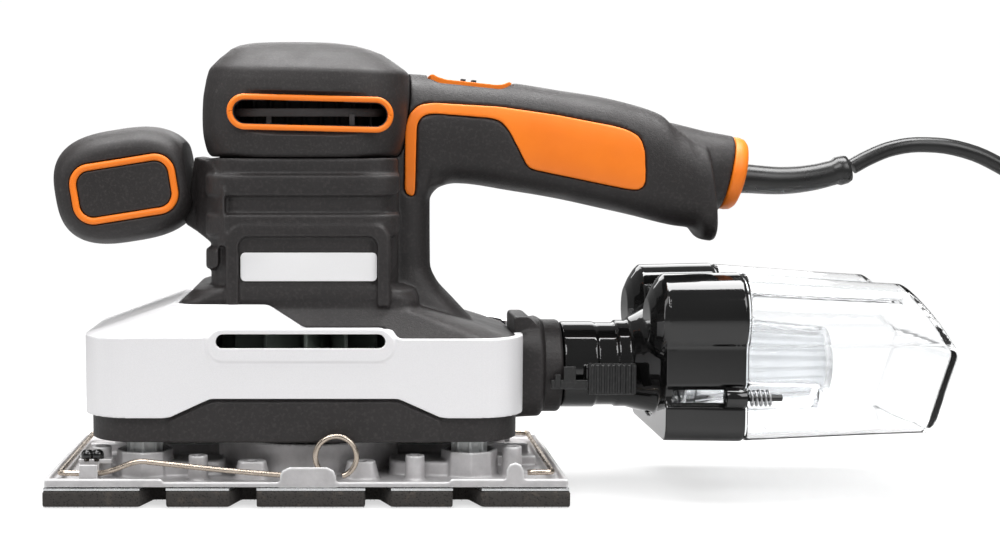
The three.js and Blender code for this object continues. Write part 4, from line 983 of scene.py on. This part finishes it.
def cover_envelope(inset):
    """Upright walls up to the crease, and flat facets that slope in to the top."""
    crease, top = 60, 71.5

    def wall(z):
        x, y = COVER_X - inset, COVER_Y - inset
        return level(round_rect(-x, x, -y, y, COVER_R - inset, 14), z)

    def facet(z):
        y = 36.3 - inset
        return level(round_rect(-47 + inset, 44 - inset, -y, y, 9 - inset * 0.5, 14), z)

    rings = [wall(20), wall(crease - inset * 0.5), facet(top - inset * 0.7)]
    if inset:
        rings.append(facet(top + 2))
    return loft(rings)


def build_cover():
    profile = rounded(COVER_SIDE, 1.6, 4)
    rim_outline = stadium(SLOT_X0 + SLOT_HALF, SLOT_X1 - SLOT_HALF, SLOT_Z - 1.2, 6.1, 14)
    rim = loft([
        facing(grown(rim_outline, g), y)
        for g, y in ((0, -COVER_Y + COVER_WALL), (0, -COVER_Y - 0.1), (-0.5, -COVER_Y - 0.5))
    ])
    slot = stadium(SLOT_X0 + SLOT_HALF, SLOT_X1 - SLOT_HALF, SLOT_Z, SLOT_HALF, 14)
    opening = side_plate(slot, *ALL_ACROSS)
    groove = band(grown(rim_outline, 1.1), 0.8, -COVER_Y - 1, -COVER_Y + 0.35, 0.01)
    cover = csg(
        "side_shell",
        [cover_envelope(0)],
        [cover_envelope(COVER_WALL), *with_mirror(groove)],
        [side_plate(profile, *ALL_ACROSS)],
    )
    combine(cover, "UNION", with_mirror(rim))
    gap_for_outlet = block(70, 90, -21, 21, 20, 80)
    combine(cover, "DIFFERENCE", [opening, gap_for_outlet])
    dressed(moulded(cover, 0.5, 2), SILVER, "housing", ("side_cover",))


def build_skirt():
    def outline(inset):
        x, y, r = SKIRT_X - inset, SKIRT_Y - inset, SKIRT_R - inset
        return round_rect(-x, x, -y, y, r, 12)

    panel_side = [(-48, SKIRT_Z), (-48, 30.4), (-32.8, 37.4), (33.4, 37.4), (49, 30.4), (49, SKIRT_Z)]
    panel_side = rounded(panel_side, 1.2, 3)
    panel = loft([
        facing(grown(panel_side, g), y)
        for g, y in ((0, -SKIRT_Y + 1), (0, -SKIRT_Y - 0.4), (-0.5, -SKIRT_Y - 0.9))
    ])
    floor_cut = work_mesh([floor_plate(outline(2.6), 20, 25.4)], inside=[block(-61, 61, -35, 35, 19, 27)])
    skirt = csg(
        "skirt_shell",
        [floor_plate(outline(0), SKIRT_Z, 55.6), *with_mirror(panel)],
        [
            floor_plate(outline(2.6), 47.6, 60),
            post(0, 0, 20, 43.2, 35.6, sides=64),
            *[post(x, y, 20, 40.2, LEG_WELL_R) for x, y in LEGS],
            post(0, 0, 40, 60, 8),
            rod(40, 92, 0, 47.6, 8.6),
            block(SLOT_X0, SLOT_X1, *ALL_ACROSS, SLOT_Z - 5, 70),
            floor_cut,
        ],
    )
    dressed(moulded(skirt, 0.6, 2), HOUSING, "housing", ("base_housing",))


def build_outlet():
    rows = [
        # x, half width, bottom, top, corner radius
        (77.6, 18.5, 26.5, 58.6, 9),
        (82, 18.5, 26.5, 62, 11),
        (87, 19, 26.4, 63.2, 13.6),
        (88, 18.6, 26.8, 62.8, 14),
        (89, 17.4, 27.4, 62.2, 17),
        (94.6, 17.4, 27.4, 62.2, 17),
        (95.6, 16.8, 28, 61.6, 16.6),
    ]
    arm = [(77.6, 56), (87.5, 56), (87.5, 60), (83.2, 64.6), (77.6, 64.6)]
    collar = csg(
        "outlet_collar",
        [
            loft([upright(round_rect(-y, y, z0, z1, r, 12), x) for x, y, z0, z1, r in rows]),
            side_plate(rounded(arm, 1.4, 4), -14, 14),
        ],
        [rod(70, 84, 0, 47.6, 8.4), rod(83.5, 120, 0, 44.6, 15.1, 64)],
    )
    dressed(moulded(collar, 0.4, 2), HOUSING, "housing", ("dust_outlet",))


# ---------------------------------------------------------------- platen, pad and paper clamps
PAD_LENGTH, PAD_WIDTH, FOAM_TOP = 187, 93, 6
PLATE_BASE, PLATE_FLOOR, PLATE_RIM, RIM_WIDTH = 7.4, 8.8, 10.4, 1.6
PLATEN_SHIFT = Matrix.Translation((1 * MM, 0, 0))
NOTCHES = [
    (-59, -49.7, -55, -49.7), (-27.3, -17.6, -23.3, -17.6), (20.9, 30, 20.9, 26), (51.9, 62.1, 51.9, 58.1),
]
NOTCH_DEPTH = 12
CASTING_ARM = [(30, 18), (30, 31), (38, 33.4), (53, 34.2), (58, 31), (58, 18)]
POST_IN, POST_OUT, BOSS, BOSS_HOLE_Y = (38.8, 38.2), (74.2, 31.4), (19.6, 36.6), 37
LEVER_Y, LEVER_INNER_Y, WIRE_R, PIVOT_X, PIVOT_Z = -44.6, -41.6, 1.0, -88, 11.6


def pad_outline(inset):
    hx, hy = PAD_LENGTH / 2 - inset, PAD_WIDTH / 2 - inset
    edge = []
    for x0, x1, in0, in1 in NOTCHES:
        edge += [(x0, 0), (in0, NOTCH_DEPTH), (in1, NOTCH_DEPTH), (x1, 0)]
    near = [(x, -hy + depth) for x, depth in edge]
    far = [(-x, hy - depth) for x, depth in edge]
    return [(-hx, -hy), *near, (hx, -hy), (hx, hy), *far, (-hx, hy)]


def inside_pad(x, y):
    """Whether a point is over foam rather than over a notch."""
    depth = PAD_WIDTH / 2 - abs(y)
    x = -x if y > 0 else x
    return all(not (x0 - 0.5 < x < x1 + 0.5 and depth < NOTCH_DEPTH) for x0, x1, _, _ in NOTCHES)


def hook_field():
    """The loop-and-hook face: short curled bristles standing down from the foam."""
    rng = np.random.default_rng(7)
    root, points, faces = 1.6, [], []
    for gx in np.arange(-92.6, 92.7, 1.5):
        for gy in np.arange(-45.8, 45.9, 1.9):
            x, y = gx + rng.uniform(-0.5, 0.5), gy + rng.uniform(-0.5, 0.5)
            if not inside_pad(x, y):
                continue
            lean_x, lean_y, base = rng.uniform(-0.5, 0.5), rng.uniform(-0.5, 0.5), len(points)
            foot = rng.uniform(0.02, 0.25)
            for t, r in ((0, 0.17), (0.6, 0.13), (1, 0.05)):
                cx, cy, z = x + lean_x * t * t, y + lean_y * t * t, root + (foot - root) * t
                for a in range(3):
                    angle = a * TAU / 3
                    points.append((cx + r * math.cos(angle), cy + r * math.sin(angle), z))
            for low in (base, base + 3):
                for a, b in ((0, 1), (1, 2), (2, 0)):
                    faces.append((low + a, low + b, low + 3 + b, low + 3 + a))
            faces.append((base + 6, base + 7, base + 8))
            faces.append((base + 2, base + 1, base))
    return points, faces


def build_pad():
    pad = csg("foam_sole", [floor_plate(rounded(pad_outline(0), 0.8, 3), 0.4, FOAM_TOP)])
    moulded(pad, 0.6, 1)
    pad.data.transform(PLATEN_SHIFT)
    dressed(pad, FOAM, "platen", ("foam_pad",))
    hooks = linked(mesh_of([hook_field()]), "hook_face")
    hooks.data.transform(PLATEN_SHIFT)
    dressed(hooks, FOAM, "platen", ())


def casting_parts():
    hx, hy = PAD_LENGTH / 2 - 0.8, PAD_WIDTH / 2 - 0.2

    def frame_wall(top, x0, x1):
        inner = block(-hx + RIM_WIDTH, hx - RIM_WIDTH, -hy + RIM_WIDTH, hy - RIM_WIDTH, 6, 20)
        return work_mesh([block(x0, x1, -hy, hy, PLATE_BASE, top)], [inner])

    drum_top, drum_r, drum_bore = 20.5, 34, 31.8
    bore = post(0, 0, PLATE_FLOOR, 30, drum_bore, sides=72)
    drum = work_mesh([post(0, 0, PLATE_BASE, drum_top, drum_r, sides=72)], [bore])
    parts = [block(-hx, hx, -hy, hy, PLATE_BASE, PLATE_FLOOR), frame_wall(9.3, -hx, hx)]
    parts += [frame_wall(PLATE_RIM, -hx, -51), frame_wall(PLATE_RIM, 51, hx), drum]
    parts.append(post(0, 0, PLATE_BASE, 20.8, 15, 14.4, 48))
    for x, y in LEGS:
        parts.append(post(x, y, PLATE_BASE, 18.2, 10.6, 10.3, 8))
    for s, t in SIGNS:
        x, y = s * POST_IN[0], t * POST_IN[1]
        parts.append(post(x, y, PLATE_BASE, 17.6, 3.7, 3.4, 28))
        x, y = s * BOSS[0], t * BOSS[1]
        boss = round_rect(x - 6.4, x + 6.4, y - 4.2, y + 4.2, 3.6, 6)
        tip = round_rect(x - 5, x + 5, y - 2.8, y + 2.8, 2.4, 6)
        parts.append(loft([level(boss, PLATE_BASE), level(boss, 9.6), level(tip, 15.4)]))
        x, y = s * POST_OUT[0], t * POST_OUT[1]
        parts.append(post(x, y, PLATE_BASE, 19.6, 3.8, 3.5, 28))
        parts.append(block(s * 57 - 28, s * 57 + 28, t * 13 - 0.9, t * 13 + 0.9, PLATE_BASE, 12.6))
        arm = rounded([(s * u, t * v) for u, v in CASTING_ARM], 4, 5)
        parts.append(loft([level(arm, PLATE_BASE), level(arm, 13.4), level(grown(arm, -0.7), 14.2)]))
    hump = [
        (-9.4, 7.1), (-9.4, 11.4), (-8.6, 13.4), (-6, 14.6),
        (7.4, 14.6), (9.8, 13.4), (10.6, 11.4), (10.6, 7.1),
    ]
    tab = [(70.8, 7.4), (70.8, 13.4), (71.7, 15.4), (73.9, 16.3), (76.1, 15.4), (77, 13.4), (77, 7.4)]
    parts += both_ends(side_plate(hump, -hy - 0.1, -hy + 0.9), side_plate(tab, -hy, -hy + 1.6))
    return parts


def build_casting():
    cuts = [post(0, 0, 11, 30, 12.3)]
    cuts += [post(x, y, PLATE_FLOOR + 0.4, 30, LEG_WELL_R, sides=8) for x, y in LEGS]
    for s, t in SIGNS:
        for (x, y), z, r in ((POST_IN, 12, 1.7), (POST_OUT, 13, 1.7), ((BOSS[0], BOSS_HOLE_Y), 11, 1.9)):
            cuts.append(post(s * x, t * y, z, 30, r, sides=20))
    casting = csg("platen_casting", casting_parts(), cuts)
    moulded(casting, 0.5, 2)
    casting.data.transform(PLATEN_SHIFT)
    dressed(casting, ALLOY, "platen", ("base_plate",))


def build_legs():
    for x, y in LEGS:
        name = ("front" if x < 0 else "rear") + ("_left" if y < 0 else "_right")
        ribs = []
        for i in range(4):
            turn = Matrix.Translation((x, y, 0)) @ Matrix.Rotation(i * math.pi / 4, 4, "Z")
            ribs.append(placed(block(-6.5, 6.5, -0.6, 0.6, 11, 25), turn))
        shank, collar = post(x, y, 9.3, 37.6, 5.2, 4.9, 32), post(x, y, 24, 26, 6.6, sides=32)
        leg = csg(f"nylon_leg_{name}", [shank, *ribs, collar])
        moulded(leg, 0.3, 2)
        leg.data.transform(PLATEN_SHIFT)
        dressed(leg, NYLON, "platen", (f"support_leg_{name}",))


def wire_line():
    """Finger ring, long lever, and the bar that grips the paper along the front edge."""
    ring_x, ring_z, ring_r, turn = 10.5, 18.1, 7.3, math.radians(320)
    start = -0.62 * math.pi - turn
    loop = []
    for i in range(33):
        a = start + turn * i / 32
        loop.append((ring_x + ring_r * math.cos(a), LEVER_Y, ring_z + ring_r * math.sin(a)))
    y, inner = LEVER_Y, LEVER_INNER_Y
    arm = [
        (2, y, 11.2), (-9, y, 11.6), (-30, y, 13.4), (-52, y, 15.8), (-60, y, 16.3), (-68, y + 0.8, 13.4),
    ]
    bar = [
        (-74, inner - 0.2), (-84, inner), (-86.9, inner + 0.5), (PIVOT_X, inner + 2), (PIVOT_X, -30),
        (PIVOT_X, 30), (PIVOT_X, 37), (PIVOT_X + 1.4, 39.4), (PIVOT_X + 9, 40),
    ]
    return curve_through([*loop, *arm, *level(bar, PIVOT_Z)], 4)


def bracket_parts():
    y = LEVER_INNER_Y
    return [
        block(-80.6, -74, y - 2.6, y + 5, PLATE_FLOOR + 0.3, 10.3),
        block(-80.6, -74, y - 2.6, y - 1.3, PLATE_FLOOR + 0.3, 15),
        block(-80.6, -74, y + 1.3, y + 5, PLATE_FLOOR + 0.3, 15),
        floor_plate(round_rect(-81.4, -69.4, y + 1.3, y + 5.6, 0.8, 4), 14.8, 16.4),
    ]


def dome(x):
    profile = [(0.01, 15.6), (2.3, 15.6), (2.3, 17.9), (2.1, 18.6), (1.6, 19.2), (0.9, 19.5), (0.01, 19.6)]
    return turned(profile, x, LEVER_INNER_Y + 3.4, 28)


def build_clamps():
    for end, place in (("front", Matrix.Identity(4)), ("rear", HALF_TURN)):
        wire = linked(mesh_of([placed(tube(wire_line(), WIRE_R, 12), place)]), f"spring_wire_{end}")
        smooth(wire)
        wire.data.transform(PLATEN_SHIFT)
        dressed(wire, NICKEL, f"clamp_{end}", (f"clamp_wire_{end}",))
        bracket = csg(f"wire_bracket_{end}", bracket_parts())
        moulded(bracket, 0.22, 2)
        domes = smooth(linked(mesh_of([dome(-78.4), dome(-74.8)]), f"bracket_screws_{end}"))
        for piece in (bracket, domes):
            piece.data.transform(PLATEN_SHIFT @ place)
        dressed(bracket, ALLOY, "platen", (f"clamp_bracket_{end}",))
        dressed(domes, GLOSS, "platen", ())


# ---------------------------------------------------------------- dust canister
SEAM_X, DUCT_Z, LOBE_Y = 159, 44.6, 23.6
GROOVE_Y, GROOVE_Z, GROOVE_R, FILTER_Z = 37.4, 38, 4.4, 46.5


class Station:
    """Measures of the canister's cross-section at x; it gets smaller with shrink."""

    def __init__(self, x, shrink):
        self.x = x
        self.lobe_y = LOBE_Y - shrink * 0.35
        self.lobe_z = 66.2 - shrink * 0.5
        self.lobe_r = 15.8 - shrink * 0.5
        self.bottom = 21 + shrink * 0.55
        self.half_low = 35.6 - shrink * 0.5


def canister_solids(stations, grow):
    """Two round lobes over a square-cornered lower body, and the web between the lobes."""

    def through(section):
        return loft([upright(section(s), s.x) for s in stations])

    def lobe(side):
        return through(lambda s: circle(side * s.lobe_y, s.lobe_z, s.lobe_r + grow, 72))

    def lower(s):
        half = s.half_low + grow
        return round_rect(-half, half, s.bottom - grow, s.lobe_z - 2 + grow, 6 + grow, 10)

    def web(s):
        return round_rect(-s.lobe_y, s.lobe_y, s.lobe_z - 12, s.lobe_z + s.lobe_r * 0.55 + grow, 4, 8)

    return [lobe(-1), lobe(1), through(lower), through(web)]


def build_head():
    body = work_mesh(
        canister_solids([Station(130, 0.6), Station(157.6, 0), Station(158.7, 0.8)], 0),
        [work_mesh(canister_solids([Station(133, 2), Station(170, 2)], -1.4))],
    )
    nose = loft([
        upright(super_ring(0, z, half_y, half_z, squareness, 72), x)
        for x, z, half_y, half_z, squareness in (
            (121.5, 46, 17, 17, 2), (124, 46.4, 19.5, 18, 2.1), (131, 48, 27, 21, 2.4)
        )
    ])
    steps = [
        # front x, rear x, rise, radius
        (85.2, 96.4, 0, 14.8), (96.2, 108.6, 0.6, 16.2), (108.6, 116.6, 0.8, 15.6), (116.6, 124, 1, 16.4),
    ]
    tubes = [rod(x0, x1, 0, DUCT_Z + rise, r, 72) for x0, x1, rise, r in steps]
    tip = [(124.6, 64.4, 8), (126.4, 65, 11.4), (128.6, 65.6, 14.2), (130.2, 65.9, 15.5)]
    tips = [loft([upright(circle(side * LOBE_Y, z, r, 72), x) for x, z, r in tip]) for side in (-1, 1)]
    latch_pad = block(103.6, 108.4, -18.4, -14, 38.6, 46.8)
    head = csg(
        "canister_cap",
        [body, nose, *tips, *tubes, *with_mirror(latch_pad)],
        [
            rod(80, 135, 0, DUCT_Z + 0.4, 12.5, 64),
            rod(128, 170, GROOVE_Y, GROOVE_Z, GROOVE_R),
            rod(128, 170, -GROOVE_Y, GROOVE_Z, GROOVE_R),
            rod(128, 140, 0, 46, 20, 64),
        ],
    )
    dressed(moulded(head, 0.42, 4), GLOSS, "canister", ("canister_head",))


def build_bin():
    def stations(inset):
        rows = [Station(SEAM_X + 0.3, 0.4), Station(200, 3.4), Station(244, 6)]
        rows[0].x -= inset * 3
        return rows

    def end_profile(back):
        slant = [(223, 10), (226, 22), (236, 53.6), (217, 78), (205, 90)]
        return rounded([(150, 10), *[(x - back, z) for x, z in slant], (150, 90)], 2.5, 4)

    inner = work_mesh(
        canister_solids(stations(1), -1.7),
        [rod(150, 185, side * GROOVE_Y, GROOVE_Z, 6.2) for side in (-1, 1)],
        [side_plate(end_profile(2.2), *ALL_ACROSS)],
    )
    grooves = [rod(150, 183, side * GROOVE_Y, GROOVE_Z, GROOVE_R) for side in (-1, 1)]
    shell = csg("clear_bin", canister_solids(stations(0), 0), [], [side_plate(end_profile(0), *ALL_ACROSS)])
    combine(shell, "DIFFERENCE", [inner, *grooves])
    dressed(moulded(shell, 0.5, 5), CLEAR, "dust_bin", ("dust_bin",))


def build_filter():
    """Pleated cone that keeps fine dust out of the outlet; its two ends are plain."""
    count, pleats = 144, 24
    rows = [
        # x, radius, depth of the pleats
        (144, 18.6, 0), (150, 17.9, 0.9), (160, 16.8, 0.9),
        (175, 15.1, 0.9), (190, 13.5, 0.9), (196, 12.8, 0),
    ]
    rings = []
    for x, r, depth in rows:
        ring = []
        for i in range(count):
            a = TAU * i / count
            folded = r - depth * (0.5 - 0.5 * math.cos(pleats * a))
            ring.append((folded * math.cos(a), FILTER_Z + folded * math.sin(a)))
        rings.append(upright(ring, x))
    inner = loft([upright(circle(0, FILTER_Z, r, 72), x) for x, r in ((140, 16.4), (194, 10.6))])
    collar = rod(141, 144.4, 0, FILTER_Z, 21, 96)
    cone = csg("filter_sock", [collar, loft(rings)], [inner])
    crisp(cone, 0.2)
    dressed(cone, FROSTED, "canister", ("filter_cone",))


def build_spring():
    count, turns, length, r, coil = 120, 5, 8, 2.7, []
    for i in range(count + 1):
        a = i / count * turns * TAU
        coil.append((SEAM_X + i / count * length, -GROOVE_Y + r * math.cos(a), GROOVE_Z + r * math.sin(a)))
    spring = smooth(linked(mesh_of([tube(coil, 0.4, 8)]), "pin_spring"))
    dressed(spring, STEEL, "lock_pin", ("lock_spring",))


# ---------------------------------------------------------------- gland ring
def build_gland():
    profile = [
        # radius, along the axis
        (6.0, -2.8), (13.2, -2.8), (13.7, -2.2), (13.7, -0.6), (13.3, 1.2), (12.3, 2.3), (10.8, 2.8),
        (6.0, 2.8),
    ]
    rings = []
    for i in range(64):
        a = TAU * i / 64
        rings.append([(along, r * math.cos(a), r * math.sin(a)) for r, along in profile])
    solid = placed(loft(rings, loop=True), leaning(GLAND_LEAN, GLAND_X, GLAND_Z))
    ring = linked(mesh_of([solid]), "gland_collar")
    crisp(ring, 0.2)
    dressed(ring, ORANGE, "housing", ("gland_ring",))


# ---------------------------------------------------------------- CAD nodes that stay
KEPT = [
    # material, bevel width, nodes
    (STEEL, 0.2, "stator_core motor_shaft armature_core eccentric_weight upper_bearing lower_bearing"),
    (STEEL, 0.2, "platen_bearing housing_screw_1 housing_screw_2 housing_screw_3"),
    (COPPER, 0.2, "field_coil_left field_coil_right commutator"),
    (CARBON, 0.2, "brush_carrier carbon_brush_left carbon_brush_right switch_body"),
    (FAN_GREEN, 0.25, "cooling_fan"),
    (HOUSING, 0.3, "air_grille"),
    (TRIM, 0.3, "switch_slider mains_plug"),
    (PLATED, 0.1, "pad_backing"),
    (SILVER, 0.3, "plaque_left plaque_right"),
    (GLOSS, 0.4, "lock_pin"),
]


def finish_kept_nodes():
    for material, width, names in KEPT:
        for name in names.split():
            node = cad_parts[name]
            node.data.materials.clear()
            node.data.materials.append(material)
            crisp(node, width)


# ---------------------------------------------------------------- light and floor
SEEN_WHITE, FLOOR_LIGHT, SKY_LIGHT = 1.02, 0.24, 0.2
LAMPS = [
    # name, power, size, location
    ("key_box", 7.6, (0.8, 0.5), (-0.35, -0.75, 0.95)),
    ("fill_box", 5.2, (0.6, 0.6), (0.75, -0.75, 0.75)),
    ("top_box", 21, (1.1, 0.5), (0.1, 0.1, 1.0)),
    ("left_strip", 1.5, (0.25, 0.8), (-0.95, -0.1, 0.4)),
    ("back_box", 4, (0.9, 0.5), (0.1, 1.0, 0.6)),
]
LAMP_TARGET = (0.08, 0, 0.07)


def soft_box(name, power, size, location):
    lamp = bpy.data.lights.new(name, "AREA")
    lamp.shape = "RECTANGLE"
    lamp.energy = power
    lamp.size, lamp.size_y = size
    obj = bpy.data.objects.new(name, lamp)
    bpy.context.scene.collection.objects.link(obj)
    obj.location = location
    obj.rotation_euler = (Vector(LAMP_TARGET) - Vector(location)).to_track_quat("-Z", "Y").to_euler()


def white_when_seen(tree, light):
    """Strength of a white ground: full where it is looked at, weaker as a light on the object."""
    path = tree.nodes.new("ShaderNodeLightPath")
    either = tree.nodes.new("ShaderNodeMath")
    either.operation = "MAXIMUM"
    tree.links.new(path.outputs["Is Camera Ray"], either.inputs[0])
    tree.links.new(path.outputs["Is Transmission Ray"], either.inputs[1])
    power = tree.nodes.new("ShaderNodeMapRange")
    power.inputs["To Min"].default_value = light
    power.inputs["To Max"].default_value = SEEN_WHITE
    tree.links.new(either.outputs[0], power.inputs["Value"])
    return power.outputs[0]


def floor_material():
    """Pale sweep that goes over into pure white away from the object."""
    s = Shade("floor_white")
    tone = s.mixed(s.between(s.noise(300, 3), 0, 1), (0.86, 0.86, 0.86), (0.89, 0.89, 0.89))
    s.finish(tone, None, None, Roughness=0.8)
    distance = s.node("VectorMath", operation="LENGTH")
    s.link(s.place, distance.inputs[0])
    far = s.between(distance.outputs["Value"], 0.6, 1, (0.25, 0.7))
    glow = s.node("Emission", Color=(1, 1, 1, 1))
    s.link(white_when_seen(s.tree, FLOOR_LIGHT), glow.inputs["Strength"])
    mix = s.node("MixShader")
    s.link(far, mix.inputs[0])
    s.link(s.shader.outputs[0], mix.inputs[1])
    s.link(glow.outputs[0], mix.inputs[2])
    s.link(mix.outputs[0], s.tree.nodes["Material Output"].inputs["Surface"])
    return s.material


def white_surround():
    """A world that shows white behind the object and lights it more weakly."""
    world = bpy.data.worlds.new("studio")
    world.use_nodes = True
    background = world.node_tree.nodes["Background"]
    background.inputs["Color"].default_value = (1, 1, 1, 1)
    strength = white_when_seen(world.node_tree, SKY_LIGHT)
    world.node_tree.links.new(strength, background.inputs["Strength"])
    bpy.context.scene.world = world


def build_studio():
    ground = linked(mesh_of([block(-6000, 6000, -6000, 6000, -20, -0.02)]), "floor")
    ground.data.materials.append(floor_material())
    white_surround()
    bpy.context.scene.view_settings.view_transform = "Standard"
    for lamp in LAMPS:
        soft_box(*lamp)


def build_baffle():
    """Ribbed bridge over the motor, which closes the view through the two vents."""
    ring = super_ring(0, 0, 31, 24.6, 3, 96)
    fins = [block(x - 0.6, x + 0.6, -25.6, 25.6, 129.4, 146) for x in range(-24, 26, 6)]
    bridge = csg("motor_bridge", [loft([level(ring, 128.2), level(ring, 150)]), *fins])
    moulded(bridge, 0.6, 1)
    dressed(bridge, HOUSING, "housing", ())


def build_bezel():
    """Upturned orange frame in a scoop of the handle, round the slide switch."""
    liner = [
        (-15.2, 2.2), (-14, 2.6), (-12.4, 1.8), (-9, 1.1), (10, 1.1), (12.6, 1.7), (14.2, 2.7), (15.4, 2.3),
        (14.4, 0), (11.6, -1.2), (-11.6, -1.2), (-14.6, 0),
    ]
    frame_plate = side_plate(rounded(liner, 0.5, 3), -8.8, 8.8)
    window = block(-7.4, 7.4, -4.6, 4.6, -4, 6)
    bezel = csg("switch_frame", [placed(frame_plate, SWITCH_PLACE)], [placed(window, SWITCH_PLACE)])
    dressed(moulded(bezel, 0.25, 2), ORANGE, "housing", ("switch_bezel",))


def build_latches():
    """Squeeze latches: a hook under the collar's edge and a ribbed thumb pad."""

    def latch(name):
        parts = [block(104.2, 121.4, -22, -19, 36.8, 48.2)]
        parts += [block(x, x + 0.9, -22.5, -21.6, 37.4, 47.6) for x in np.arange(105, 121, 1.95)]
        parts.append(block(90.6, 105, -20.6, -19.2, 38.6, 42))
        parts.append(block(95.2, 99.6, -20.8, -18.8, 41, 47))
        parts.append(block(92, 94, -21, -18.8, 39.4, 44))
        return moulded(csg(name, parts), 0.22, 1)

    left_and_right(latch, "thumb_latch", TRIM, "latch_{}", "canister_latch")


build_baffle()
build_bezel()
build_latches()
build_cap()
build_housing()
build_knob()
build_cover()
build_skirt()
build_outlet()
build_pad()
build_casting()
build_legs()
build_clamps()
build_head()
build_bin()
build_filter()
build_spring()
build_gland()
finish_kept_nodes()
build_studio()
